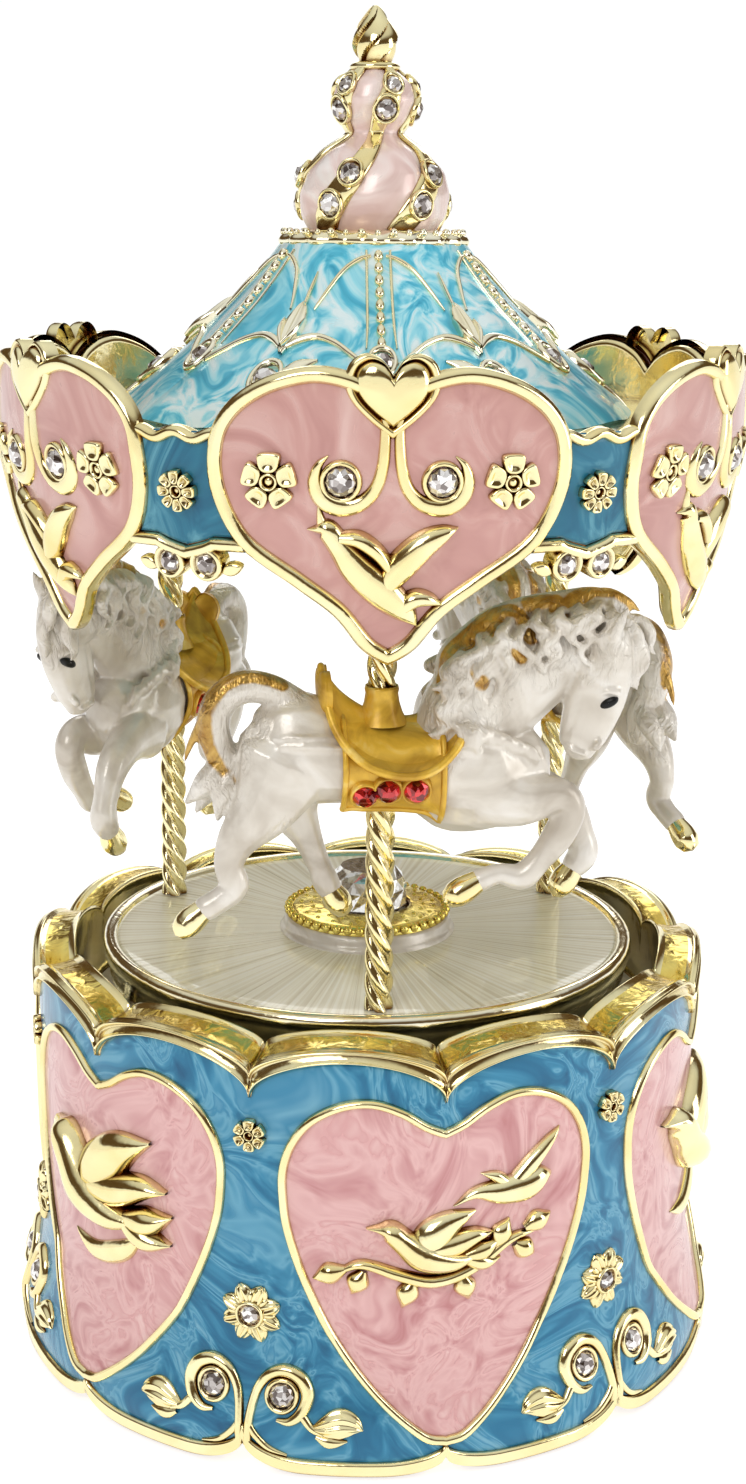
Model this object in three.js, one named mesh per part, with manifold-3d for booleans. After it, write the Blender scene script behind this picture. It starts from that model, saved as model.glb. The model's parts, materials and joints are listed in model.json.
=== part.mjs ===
// Carousel music box: an enamelled, gold-plated die-cast carousel that turns on a wind-up movement.
// Millimetres, +Z up. The origin is on the turning axis, in the plane that the foot lobes stand on,
// and the middle of one base heart faces -Y. Angles are counted in degrees from -Y towards +X.
import * as THREE from "three";
import { mergeVertices } from "three/addons/utils/BufferGeometryUtils.js";
import Module from "manifold-3d";

const wasm = await Module();
wasm.setup();

// ---------------------------------------------------------------- driving dimensions
const GAP = 0.3; // between pieces that touch or run in each other
const TOTAL_HEIGHT = 165;
const HEARTS = 6;
const SECTOR = 360 / HEARTS;
const SCALLOPS = 12;
const HORSES = 3;
const CAROUSEL_REST = -9.5; // turn of the carousel against the base at rest
const COLUMNS = 96; // facets round the tub and the crown: eight to a scallop

const TUB = { wall: 42, flare: 44.9, sole: 44.6, seat: 41.2, inner: 39.6, mouth: 37.5, ledge: 34.6 };
const RIM = { notch: 47.9, peak: 51.3, innerNotch: 49.2, innerPeak: 51.7 };
const FOOT_ARCH = { tip: 2.2, panel: 3.6, share: 0.62 };
const COVER = { z: 7.6, thick: 1.6, radius: 40.9, hole: 2.6 };
const BEDPLATE = { z: 9.5, thick: 2.5 };
const DECK = { z: 39.5, thick: 1.8, radius: 37.1 };

const TURNTABLE = { radius: 34, top: 51.9, enamel: 51.3, under: 49.3, skirt: 45.6, bore: 2.8 };
const HUB = { plinth: 10.7, ring: 10, crystal: 5.2, z: 51.6, step: 1.8, ringHeight: 1, top: 59.9 };

const POLE = { circle: 29.5, radius: 1.65, spigot: 1.3, top: 115.3, end: 116.7 };
const PIN_HOLE = POLE.spigot + GAP;
const POLE_ANGLES = Array.from({ length: HORSES }, (_, i) => (i * 360) / HORSES);

const CROWN = { radius: 44.6, low: 39.9, lowZ: 95.1, highZ: 116.4, wall: 1.5 };
const LEDGE = { z: 115.6, thick: 2, hole: 26 };
const PANEL = { top: 118.9, bottom: 107.2, cusp: 106.1 };
const HEART_TOP = [[0, 121.6], [2.5, 123.7], [5.8, 124.9], [9.1, 125], [13.3, 123.7], [16.7, 121.3], [18.4, 118]];
const HEART_LOW = [[0, 95.1], [2.3, 96.5], [5.2, 100.5], [9.3, 103.7], [15.2, 107.9], [18, 113.2], [18.4, 118]];

const ROOF = { foot: 31.5, z: 117.9, footHeight: 1.6, wall: 1.5, flange: 12, flangeZ: 137.6, flangeTop: 139.1 };
const ROOF_CURVE = [[31.5, 118.2], [30.4, 119.2], [23, 125.1], [16.8, 131], [11.1, 137.6]];
const STUD = { radius: 1.2, low: 131.6, top: 143.2 };

const SPUR = { module: 0.6, ring: 48, pinion: 8, z: 13.5, face: 2 };
const CROWN_GEAR = { module: 1, teeth: 24, pinion: 8, pitchZ: 23 };
const WORM = { module: 0.5, wheel: 20, radius: 2, z: 17.4, length: 6.4 };
const BARREL = { low: 13, top: 21.5, radius: 11.1, inner: 9.9, roof: 1.5 };
const ARBOR = { radius: 2, low: 5.2, top: 19.6 };
const SHAFT = { radius: 2.5, low: 21.8, top: 50.5, flange: 6 };
const DRUM = { radius: 6, start: 17.1, end: 32, pin: 0.8, axle: 1.2 };
const COMB = { teeth: 18, pitch: 0.8, slot: 0.3, thick: 1 };

const spurPitch = (SPUR.module * SPUR.ring) / 2;
const idlerX = -(spurPitch + (SPUR.module * SPUR.pinion) / 2);
const wheelPitch = (WORM.module * WORM.wheel) / 2;
const wormX = idlerX - wheelPitch - WORM.radius;
const crownPitch = (CROWN_GEAR.module * CROWN_GEAR.teeth) / 2;
const pinionPitch = (CROWN_GEAR.module * CROWN_GEAR.pinion) / 2;
const drumZ = CROWN_GEAR.pitchZ + pinionPitch;

// ---------------------------------------------------------------- finishes
const finish = (color, roughness, metalness) => ({ color, roughness, metalness });
const GOLD = finish(0xd9bd62, 0.22, 1);
const OLD_GOLD = finish(0xb98a2c, 0.4, 0.8);
const BLUE_ENAMEL = finish(0x4fa3cf, 0.25, 0.1);
const SKY_ENAMEL = finish(0x7cc8e4, 0.25, 0.1);
const PINK_ENAMEL = finish(0xebc9c4, 0.25, 0.1);
const PEARL = finish(0xdcd8d2, 0.3, 0.1);
const CREAM_ENAMEL = finish(0xd8d2bc, 0.35, 0.2);
const CRYSTAL = finish(0xe6f0f2, 0.05, 0);
const STEEL = finish(0xaeb2b6, 0.35, 1);
const BRASS = finish(0xc8a24a, 0.35, 1);
const ZINC = finish(0x9a9da1, 0.5, 0.9);
const BLUED = finish(0x3c4656, 0.35, 1);

// ---------------------------------------------------------------- geometry helpers
const radians = THREE.MathUtils.degToRad;
const rotZ = (angle) => new THREE.Matrix4().makeRotationZ(radians(angle));
const move = (x, y, z) => new THREE.Matrix4().makeTranslation(x, y, z);
const onCircle = (radius, angle) => [radius * Math.sin(radians(angle)), -radius * Math.cos(radians(angle))];

// A closed geometry as a solid that can be cut and joined.
function solid(geometry) {
  const bare = geometry.clone();
  bare.deleteAttribute("normal");
  bare.deleteAttribute("uv");
  const merged = mergeVertices(bare, 1e-4);
  return new wasm.Manifold(
    new wasm.Mesh({
      numProp: 3,
      vertProperties: Float32Array.from(merged.attributes.position.array),
      triVerts: Uint32Array.from(merged.index.array),
    }),
  );
}

// A solid as a geometry again.
function geometryOf(body) {
  const mesh = body.getMesh();
  const geometry = new THREE.BufferGeometry();
  geometry.setAttribute("position", new THREE.BufferAttribute(Float32Array.from(mesh.vertProperties), 3));
  geometry.setIndex(new THREE.BufferAttribute(Uint32Array.from(mesh.triVerts), 1));
  geometry.computeVertexNormals();
  return geometry;
}

const join = (...pieces) => geometryOf(pieces.map(solid).reduce((all, next) => all.add(next)));
const cut = (piece, ...tools) =>
  geometryOf(tools.map(solid).reduce((left, tool) => left.subtract(tool), solid(piece)));
const common = (a, b) => geometryOf(solid(a).intersect(solid(b)));

// A turned piece about Z. The profile of [radius, z] points runs up its outer side.
function turned(profile, segments = 24, closed = false) {
  const points = profile.map(([r, z]) => new THREE.Vector2(r, z));
  if (closed) points.push(points[0].clone());
  return new THREE.LatheGeometry(points, segments).rotateX(Math.PI / 2);
}

// A ring whose section changes round the axis: section(angle) gives its closed [radius, z] profile.
function shapedRing(section, segments) {
  const count = section(0).length;
  const ring = turned(section(0), segments, true);
  const position = ring.attributes.position;
  for (let i = 0; i <= segments; i++) {
    const angle = (360 * (i % segments)) / segments;
    section(angle).concat([section(angle)[0]]).forEach(([r, z], j) => {
      const [x, y] = onCircle(r, angle);
      position.setXYZ(i * (count + 1) + j, x, y, z);
    });
  }
  return ring;
}

function cylinder(radius, low, high, x = 0, y = 0, sides = 12, topRadius = radius) {
  return new THREE.CylinderGeometry(topRadius, radius, high - low, sides)
    .rotateX(Math.PI / 2)
    .translate(x, y, (low + high) / 2);
}

function box(x0, x1, y0, y1, z0, z1) {
  return new THREE.BoxGeometry(x1 - x0, y1 - y0, z1 - z0).translate((x0 + x1) / 2, (y0 + y1) / 2, (z0 + z1) / 2);
}

function plate(outline, low, thick) {
  const shape = new THREE.Shape(outline.map(([x, y]) => new THREE.Vector2(x, y)));
  return new THREE.ExtrudeGeometry(shape, { depth: thick, bevelEnabled: false }).translate(0, 0, low);
}

// The z of an outline of [distance, z] points at a distance.
function along(outline, distance) {
  for (let i = 1; i < outline.length; i++) {
    const [u0, z0] = outline[i - 1];
    const [u1, z1] = outline[i];
    if (distance <= u1) return z0 + ((z1 - z0) * (distance - u0)) / (u1 - u0);
  }
  return outline[outline.length - 1][1];
}

// A toothed outline: four points to a tooth, with generous backlash.
function gearOutline(module, teeth, phase = 0) {
  const pitch = (module * teeth) / 2;
  const [tip, root] = [pitch + 0.7 * module, pitch - 1.1 * module];
  const step = (2 * Math.PI) / teeth;
  const points = [];
  for (let i = 0; i < teeth; i++) {
    const middle = (i + phase) * step;
    for (const [radius, share] of [[root, -0.27], [tip, -0.11], [tip, 0.11], [root, 0.27]])
      points.push([radius * Math.cos(middle + share * step), radius * Math.sin(middle + share * step)]);
  }
  return points;
}

// ---------------------------------------------------------------- the scene graph
const musicBox = new THREE.Group();
const carousel = new THREE.Group();
carousel.rotation.z = radians(CAROUSEL_REST);
musicBox.add(carousel);

function add(parent, name, geometry, look) {
  const mesh = new THREE.Mesh(geometry, new THREE.MeshStandardMaterial(look));
  mesh.name = name;
  parent.add(mesh);
}

// A cheese-head screw that points up, its head's top face at z.
function screw(x, y, z, length, head = 2.1, shank = 0.9) {
  const body = join(cylinder(head, z - 1.2, z, x, y, 8), cylinder(shank, z - 0.1, z + length, x, y, 6));
  return cut(body, box(x - 3, x + 3, y - 0.3, y + 0.3, z - 1.3, z - 0.8));
}

// The same screw pointing down, its head's lower face at z.
function screwDown(x, y, z, length, head = 1.9, shank = 0.9) {
  return screw(x, -y, -z, length, head, shank).rotateX(Math.PI);
}

const screwPlaces = ({ circle, angles }) => angles.map((angle) => onCircle(circle, angle));

// ---------------------------------------------------------------- base shell
const COVER_SCREWS = { circle: 37.4, angles: [60, 180, 300] };
const DECK_SCREWS = { circle: 35.9, angles: [30, 150, 270] };
const BEDPLATE_SCREWS = [[-24, -10.5], [24, -10.5], [8, 16.5]];

// 0 in a notch and 1 on the crest of a scallop, round like an arch.
const scallop = (angle) => Math.sqrt(Math.sin(Math.PI * (((angle * SCALLOPS) / 360) % 1)));

// Height of the sole: round arches at the joins between flat lobes, a low one under each heart's tip.
function footArch(angle) {
  const fromJoin = 1 - Math.abs(2 * (((angle * SCALLOPS) / 360) % 1) - 1);
  const rise = 1 - Math.min(fromJoin / FOOT_ARCH.share, 1);
  const nearTip = Math.cos(radians(HEARTS * angle)) > 0;
  return (nearTip ? FOOT_ARCH.tip : FOOT_ARCH.panel) * (1 - Math.sqrt(1 - rise * rise));
}

function tubSection(angle) {
  const arch = scallop(angle);
  const rim = RIM.notch + (RIM.peak - RIM.notch) * arch;
  const innerRim = RIM.innerNotch + (RIM.innerPeak - RIM.innerNotch) * arch;
  const sole = footArch(angle);
  return [
    [TUB.seat, sole],
    [TUB.sole, sole],
    [TUB.flare, 5],
    [43.4, 9.5],
    [TUB.wall, 16],
    [TUB.wall + 0.1, rim],
    [TUB.mouth, innerRim],
    [TUB.mouth, DECK.z - GAP],
    [TUB.ledge, DECK.z - GAP],
    [TUB.ledge, DECK.z - GAP - 2.4],
    [TUB.inner, DECK.z - GAP - 5],
    [TUB.inner, BEDPLATE.z],
    [TUB.seat, BEDPLATE.z],
  ];
}

function baseTub() {
  const [coverPlaces, deckPlaces] = [screwPlaces(COVER_SCREWS), screwPlaces(DECK_SCREWS)];
  const bosses = coverPlaces.map(([x, y]) => cylinder(3, BEDPLATE.z, 15.5, x, y, 8));
  const coverHoles = coverPlaces.map(([x, y]) => cylinder(1.2, 9, 14, x, y, 8));
  const deckHoles = deckPlaces.map(([x, y]) => cylinder(1.2, 30, 42, x, y, 8));
  return cut(join(shapedRing(tubSection, COLUMNS), ...bosses), ...coverHoles, ...deckHoles);
}

function bottomCover() {
  const disc = cylinder(COVER.radius, COVER.z, COVER.z + COVER.thick, 0, 0, 36);
  const holes = [cylinder(COVER.hole, 0, 20, 0, 0, 16)];
  for (const [x, y] of [...screwPlaces(COVER_SCREWS), ...BEDPLATE_SCREWS]) {
    holes.push(cylinder(1.3, 0, 20, x, y, 8));
  }
  const SOUND_HOLES = 6;
  const SOUND_HOLE = 0.8;
  for (let i = 0; i < SOUND_HOLES; i++) {
    const angle = ((i + 0.5) * 360) / SOUND_HOLES;
    holes.push(cylinder(SOUND_HOLE, 0, 20, ...onCircle(29, angle), 8));
  }
  return cut(disc, ...holes);
}

function deckPlate() {
  const disc = cylinder(DECK.radius, DECK.z, DECK.z + DECK.thick, 0, 0, 36);
  const screwHoles = screwPlaces(DECK_SCREWS).map(([x, y]) => cylinder(1.3, 30, 50, x, y, 8));
  return cut(disc, cylinder(4.8, 30, 50, 0, 0, 16), ...screwHoles);
}

// Bush with a top flange that the shaft runs in.
function deckBush() {
  const seat = DECK.z + DECK.thick + GAP;
  const bore = SHAFT.radius + GAP;
  const section = [[bore, 38], [4.5, 38], [4.5, seat], [6.5, seat], [6.5, seat + 1.2], [bore, seat + 1.2]];
  return turned(section, 12, true);
}

add(musicBox, "base_tub", baseTub(), BLUE_ENAMEL);
add(musicBox, "bottom_cover", bottomCover(), ZINC);
screwPlaces(COVER_SCREWS).forEach(([x, y], i) =>
  add(musicBox, `cover_screw_${i + 1}`, screw(x, y, COVER.z - GAP, 6), STEEL),
);
add(musicBox, "deck_plate", deckPlate(), ZINC);
add(musicBox, "deck_bush", deckBush(), BRASS);
screwPlaces(DECK_SCREWS).forEach(([x, y], i) =>
  add(musicBox, `deck_screw_${i + 1}`, screwDown(x, y, DECK.z + DECK.thick + GAP, 4.2, 1.4), STEEL),
);

// ---------------------------------------------------------------- musical movement, fixed parts
const BRACKETS = { inner: [15.3, 16.6], outer: [32.8, 34.2], half: 4.5, top: 31.5 };
const HEEL = { x: [17, 32], y: [13.2, 19.4], top: drumZ - 0.5 * COMB.thick - GAP };
const COMB_SCREWS = [21, 28];
const COMB_SCREW_Y = 16;
const GOVERNOR = { y: [-6.2, 6.2], thick: 1.3, top: 24.6 };
const AXLE_HOLE = DRUM.axle + GAP;
const bedTop = BEDPLATE.z + BEDPLATE.thick;

function movementBedplate() {
  const outline = [[-28, -15], [30, -15], [35.5, -8], [35.5, 10], [32.5, 19.8], [-4, 19.8], [-31, 13], [-31, -9]];
  const heel = box(...HEEL.x, ...HEEL.y, bedTop - 0.5, HEEL.top);
  const holes = [cylinder(COVER.hole, 0, 20, 0, 0, 16), cylinder(1.1, bedTop - 1.5, bedTop + 1, idlerX, 0, 8)];
  for (const [x, y] of BEDPLATE_SCREWS) holes.push(cylinder(1.2, 0, BEDPLATE.z + 1.9, x, y, 8));
  for (const x of COMB_SCREWS) holes.push(cylinder(1.1, HEEL.top - 5, 40, x, COMB_SCREW_Y, 8));
  return cut(join(plate(outline, BEDPLATE.z, BEDPLATE.thick), heel), ...holes);
}

function cylinderBracket([x0, x1]) {
  const upright = box(x0, x1, -BRACKETS.half, BRACKETS.half, bedTop + GAP, BRACKETS.top);
  const hole = cylinder(AXLE_HOLE, x0 - 1, x1 + 1, 0, 0, 16).rotateY(Math.PI / 2).translate(0, 0, drumZ);
  return cut(upright, hole);
}

// Steel comb: a plate sawn into one free tooth for each note.
function combPlate() {
  const width = COMB.teeth * COMB.pitch;
  const left = (DRUM.start + DRUM.end - width) / 2;
  const tipY = DRUM.radius + DRUM.pin + GAP;
  const outline = [[left, 19], [left, tipY]];
  for (let i = 1; i < COMB.teeth; i++) {
    const x = left + i * COMB.pitch;
    const rootY = 12 - (2.5 * i) / COMB.teeth;
    const [x0, x1] = [x - COMB.slot / 2, x + COMB.slot / 2];
    outline.push([x0, tipY], [x0, rootY], [x1, rootY], [x1, tipY]);
  }
  outline.push([left + width, tipY], [left + width, 19]);
  const blank = plate(outline.reverse(), drumZ - COMB.thick / 2, COMB.thick);
  return cut(blank, ...COMB_SCREWS.map((x) => cylinder(1.3, 20, 40, x, COMB_SCREW_Y, 8)));
}

// U-shaped frame that carries the worm between two uprights, with an arm over the idler's upper pivot.
function governorFrame() {
  const [front, back] = GOVERNOR.y;
  const outer = wormX - 2.6;
  const uprights = GOVERNOR.y.map((y, i) => {
    const start = i ? y : y - GOVERNOR.thick;
    return box(outer, wormX + 2.6, start, start + GOVERNOR.thick, bedTop + GAP, GOVERNOR.top + 1);
  });
  const [low, high] = [GOVERNOR.top, GOVERNOR.top + 1.4];
  const topBar = box(outer, wormX + 2.6, front - GOVERNOR.thick, back + GOVERNOR.thick, low, high);
  const arm = box(wormX, idlerX + 2, -2, 2, low, high);
  const wormHole = cylinder(1.1, -20, 20, 0, 0, 12).rotateX(Math.PI / 2).translate(wormX, 0, WORM.z);
  return cut(join(...uprights, topBar, arm), wormHole, cylinder(1.1, 20, 30, idlerX, 0, 8));
}

add(musicBox, "movement_bedplate", movementBedplate(), ZINC);
BEDPLATE_SCREWS.forEach(([x, y], i) =>
  add(musicBox, `bedplate_screw_${i + 1}`, screw(x, y, COVER.z - GAP, 3.6, 1.9), STEEL),
);
add(musicBox, "comb", combPlate(), STEEL);
COMB_SCREWS.forEach((x, i) => {
  const seat = drumZ + COMB.thick / 2 + GAP;
  add(musicBox, `comb_screw_${i + 1}`, screwDown(x, COMB_SCREW_Y, seat, 4.8, 1.7), BLUED);
});
add(musicBox, "cylinder_bracket_inner", cylinderBracket(BRACKETS.inner), ZINC);
add(musicBox, "cylinder_bracket_outer", cylinderBracket(BRACKETS.outer), ZINC);
add(musicBox, "governor_frame", governorFrame(), BRASS);

// ---------------------------------------------------------------- winding key and arbor
const KEY = { low: 1, lobe: 2.6, hub: 3.4, hubLow: 4.4, hubTop: 7, wing: 9.8, thick: 1.6 };

function windingKey() {
  const lobe = (side) =>
    new THREE.CylinderGeometry(KEY.lobe, KEY.lobe, KEY.thick, 16)
      .scale(1.5, 1, 1)
      .translate(side * (KEY.wing - 1.5 * KEY.lobe), 0, KEY.low + KEY.lobe);
  const web = box(-4, 4, -KEY.thick / 2, KEY.thick / 2, KEY.low + 0.6, KEY.hubLow + 0.4);
  const hub = cylinder(KEY.hub, KEY.hubLow - 0.6, KEY.hubTop, 0, 0, 16);
  const bore = cylinder(ARBOR.radius + GAP, ARBOR.low - GAP, 10, 0, 0, 12);
  return cut(join(lobe(-1), lobe(1), web, hub), bore);
}

add(musicBox, "winding_key", windingKey(), BRASS);
add(musicBox, "winding_arbor", cylinder(ARBOR.radius, ARBOR.low, ARBOR.top, 0, 0, 12), STEEL);

// ---------------------------------------------------------------- pinned cylinder
const TUNE_PINS = 36;
const PIN_COLUMNS = COMB.teeth;

// Brass drum whose pins stand in one ring for each comb tooth.
function pinCylinder() {
  const drum = turned(
    [
      [DRUM.axle + GAP, DRUM.start],
      [DRUM.radius, DRUM.start],
      [DRUM.radius, DRUM.end],
      [DRUM.axle + GAP, DRUM.end],
    ],
    24,
    true,
  );
  const pins = [];
  const width = COMB.teeth * COMB.pitch;
  for (let i = 0; i < TUNE_PINS; i++) {
    const column = (i * 7) % PIN_COLUMNS;
    const height = (DRUM.start + DRUM.end - width) / 2 + (column + 0.5) * COMB.pitch;
    const angle = (360 * i) / TUNE_PINS + ((i * 5) % 3) * 1.5;
    const middle = -(DRUM.radius + (DRUM.pin - 0.5) / 2);
    const pin = new THREE.BoxGeometry(0.3, DRUM.pin + 0.5, 0.3).translate(0, middle, height);
    pins.push(pin.applyMatrix4(rotZ(angle)));
  }
  return join(drum, ...pins).rotateY(Math.PI / 2).translate(0, 0, drumZ);
}

// Steel axle with the pinion that the barrel's crown teeth drive.
function cylinderArbor() {
  const axle = cylinder(DRUM.axle, 10.6, 35, 0, 0, 12);
  const pinion = plate(gearOutline(CROWN_GEAR.module, CROWN_GEAR.pinion, 0.5), 11.5, 2.3);
  return join(axle, pinion).rotateY(Math.PI / 2).translate(0, 0, drumZ);
}

add(musicBox, "pin_cylinder", pinCylinder(), BRASS);
add(musicBox, "cylinder_arbor", cylinderArbor(), STEEL);

// ---------------------------------------------------------------- governor train
// Idler: pinion, arbor and worm wheel in one.
function idlerArbor() {
  const arbor = cylinder(0.8, bedTop - 1.1, GOVERNOR.top + 1.2, 0, 0, 8);
  const pinion = plate(gearOutline(SPUR.module, SPUR.pinion, 0.5), SPUR.z - 0.2, SPUR.face + 0.6);
  const wheel = plate(gearOutline(WORM.module, WORM.wheel), WORM.z - 0.8, 1.6);
  return join(arbor, pinion, wheel).translate(idlerX, 0, 0);
}

// A single-start worm: a shaft whose radius follows a helical ridge.
function wormShaft() {
  const lead = Math.PI * WORM.module;
  const [tip, root] = [WORM.radius + 0.7 * WORM.module, WORM.radius - 1.1 * WORM.module];
  const [SIDES, STEPS_PER_LEAD] = [8, 8];
  const rows = Math.round((WORM.length / lead) * STEPS_PER_LEAD);
  const body = new THREE.CylinderGeometry(root, root, WORM.length, SIDES, rows);
  const position = body.attributes.position;
  for (let i = 0; i < position.count; i++) {
    const [x, y, z] = [position.getX(i), position.getY(i), position.getZ(i)];
    if (Math.hypot(x, z) < 0.5 * root || Math.abs(y) > WORM.length / 2 - 0.3) continue;
    const turn = Math.atan2(x, z) / (2 * Math.PI);
    const phase = (((y / lead - turn - 0.25) % 1) + 1.5) % 1;
    const away = Math.abs(phase - 0.5);
    const height = THREE.MathUtils.clamp((0.27 - away) / 0.16, 0, 1);
    const radius = root + (tip - root) * height;
    position.setXYZ(i, (x / root) * radius, y, (z / root) * radius);
  }
  const shaft = new THREE.CylinderGeometry(0.8, 0.8, 22.5, 10).translate(0, 3, 0);
  return join(body, shaft).translate(wormX, 0, WORM.z);
}

// Two-blade paddle that the air slows down.
function airVane() {
  const blades = box(-5, 5, 10, 13.4, -0.4, 0.4);
  const boss = cylinder(1.8, 9, 14, 0, 0, 12).rotateX(-Math.PI / 2);
  const bore = cylinder(0.8 + GAP, 0, 30, 0, 0, 10).rotateX(-Math.PI / 2);
  return cut(join(blades, boss), bore).translate(wormX, 0, WORM.z);
}

add(musicBox, "idler_arbor", idlerArbor(), BRASS);
add(musicBox, "worm_shaft", wormShaft(), STEEL);
add(musicBox, "air_vane", airVane(), BRASS);

// ---------------------------------------------------------------- spring barrel and output shaft
// Drum open below, with a spur ring at its foot and crown teeth round its top.
function springBarrel() {
  const { low, top, radius, inner, roof } = BARREL;
  const drum = cut(cylinder(radius, low, top, 0, 0, 24), cylinder(inner, 0, top - roof, 0, 0, 24));
  const ring = cut(
    plate(gearOutline(SPUR.module, SPUR.ring), SPUR.z, SPUR.face),
    cylinder(radius - 0.4, 0, 30, 0, 0, 16),
  );
  const { module, teeth, pitchZ } = CROWN_GEAR;
  const [tip, root] = [pitchZ + 0.7 * module, pitchZ - 1.1 * module];
  const columns = 4 * teeth;
  const [inside, outside] = [crownPitch - 1.6, crownPitch + 1.2];
  const crown = shapedRing((angle) => {
    const corner = Math.round((angle * columns) / 360) % 4;
    const z = corner === 0 || corner === 3 ? tip : root;
    return [[inside, root - 1.2], [outside, root - 1.2], [outside, z], [inside, z]];
  }, columns);
  shiftTeeth(crown, teeth);
  const [collarLow, collarHigh] = [root - 1.3, root - 0.8];
  const collar = turned(
    [
      [radius - 0.4, 18.5],
      [radius, 18.5],
      [outside, collarLow],
      [outside, collarHigh],
      [radius - 0.4, collarHigh],
    ],
    24,
    true,
  );
  return join(drum, ring, collar, crown);
}

// Moves the evenly spaced columns of a toothed ring to the corners of its teeth.
function shiftTeeth(ring, teeth) {
  const position = ring.attributes.position;
  const columns = 4 * teeth;
  const perColumn = position.count / (columns + 1);
  const corners = [0.11, 0.27, 0.73, 0.89];
  for (let i = 0; i <= columns; i++) {
    const column = i % columns;
    const angle = (360 * (Math.floor(column / 4) + corners[column % 4])) / teeth;
    for (let j = 0; j < perColumn; j++) {
      const index = i * perColumn + j;
      const radius = Math.hypot(position.getX(index), position.getY(index));
      const [x, y] = onCircle(radius, angle);
      position.setXY(index, x, y);
    }
  }
}

// Flat spiral spring, its strip wound from the arbor out to the barrel's wall.
function mainspring() {
  const [TURNS, PER_TURN, THICK] = [4, 16, 0.5];
  const [start, end] = [ARBOR.radius + GAP + 0.3, BARREL.inner - GAP - THICK];
  const strip = (offset) =>
    Array.from({ length: TURNS * PER_TURN + 1 }, (_, i) => {
      const angle = (2 * Math.PI * i) / PER_TURN;
      const radius = start + ((end - start) * i) / (TURNS * PER_TURN) + offset;
      return [radius * Math.cos(angle), radius * Math.sin(angle)];
    });
  return plate(strip(THICK).concat(strip(0).reverse()), 14.2, 5);
}

function outputShaft() {
  const { radius, low, top, flange } = SHAFT;
  return turned([[0, low], [flange, low], [flange, low + 1.4], [radius, low + 1.4], [radius, top], [0, top]], 16);
}

// The barrel's teeth keep their place against the fixed train whatever the rest turn is.
add(carousel, "spring_barrel", springBarrel().rotateZ(radians(-CAROUSEL_REST)), BRASS);
add(carousel, "mainspring", mainspring(), BLUED);
add(carousel, "output_shaft", outputShaft(), STEEL);

// ---------------------------------------------------------------- turntable
function turntable() {
  const { radius, top, enamel, under, skirt, bore } = TURNTABLE;
  const disc = turned(
    [
      [0, 44.4],
      [6, 44.4],
      [6, under],
      [radius - 1.8, under],
      [radius - 1.8, skirt],
      [radius - 0.8, skirt],
      [radius, skirt + 1],
      [radius, top - 0.5],
      [radius - 0.4, top],
      [radius - 2, top],
      [radius - 2.3, enamel],
      [0, enamel],
    ],
    40,
  );
  const holes = [cylinder(bore, 40, SHAFT.top + GAP, 0, 0, 16)];
  for (const angle of POLE_ANGLES) holes.push(cylinder(PIN_HOLE, 40, 60, ...onCircle(POLE.circle, angle), 10));
  return cut(disc, ...holes);
}

function hubRing() {
  const low = HUB.z + HUB.step + GAP;
  const high = low + HUB.ringHeight;
  const [inner, outer] = [HUB.crystal + GAP, HUB.ring];
  const section = [[inner, low], [outer - 0.3, low], [outer, low + 0.5], [outer - 0.5, high], [inner, high]];
  return turned(section, 24, true);
}

// Brilliant-cut stone: pointed foot cut off flat, girdle and table.
function hubCrystal() {
  const low = HUB.z + HUB.step + GAP;
  const { crystal, top } = HUB;
  return turned([[0, low], [crystal - 0.6, low], [crystal, low + 3], [crystal * 0.66, top], [0, top]], 10);
}

add(carousel, "turntable", turntable(), CREAM_ENAMEL);
add(
  carousel,
  "hub_plinth",
  turned([[0, HUB.z], [HUB.plinth, HUB.z], [HUB.plinth, HUB.z + HUB.step], [0, HUB.z + HUB.step]], 24),
  PEARL,
);
add(carousel, "hub_ring", hubRing(), GOLD);
add(carousel, "hub_crystal", hubCrystal(), CRYSTAL);

// ---------------------------------------------------------------- horses, saddles and poles
// A horse is drawn in its own frame: +x forward, +y towards the carousel's axis, the pole at the origin.
// A tube with flat ends through [x, y, z, radius, height radius] points, its sections square to its path.
function limb(points, sides = 5) {
  const tube = new THREE.CylinderGeometry(1, 1, 1, sides, points.length - 1);
  const position = tube.attributes.position;
  const places = points.map(([x, y, z]) => new THREE.Vector3(x, y, z));
  for (let i = 0; i < position.count; i++) {
    const k = Math.round((0.5 - position.getY(i)) * (points.length - 1));
    const [, , , wide, high = wide] = points[k];
    const before = places[Math.max(k - 1, 0)];
    const after = places[Math.min(k + 1, places.length - 1)];
    const ahead = after.clone().sub(before).normalize();
    const side = new THREE.Vector3(0, 1, 0).addScaledVector(ahead, -ahead.y).normalize();
    const up = ahead.clone().cross(side);
    const place = places[k].clone();
    place.addScaledVector(side, position.getX(i) * wide).addScaledVector(up, position.getZ(i) * high);
    position.setXYZ(i, place.x, place.y, place.z);
  }
  return tube;
}

const TORSO = [
  [-17.4, 0, 82.8, 2.4, 3.2],
  [-14.4, 0, 82.6, 4.5, 5.6],
  [-8.6, 0, 82.2, 5.3, 6.7],
  [0, 0, 80.9, 4.9, 6.1],
  [8.5, 0, 80, 5.1, 7],
  [13.6, 0, 80.8, 4.5, 6],
  [17, 0, 82.2, 2.6, 3.4],
];
const NECK = [
  [10, 0, 83, 4.6, 6],
  [15.5, 0.6, 90, 3.4, 5],
  [20, 1, 95.4, 2.6, 3.8],
];
const grown = (points, grow) => points.map(([x, y, z, ry, rz]) => [x, y, z, ry + grow, rz + grow]);
const torso = (grow) => limb(grown(TORSO, grow), 10);
const neck = (grow) => limb(grown(NECK, grow), 8);
const SADDLE_HOLE = POLE.radius + GAP + 0.05;

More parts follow.
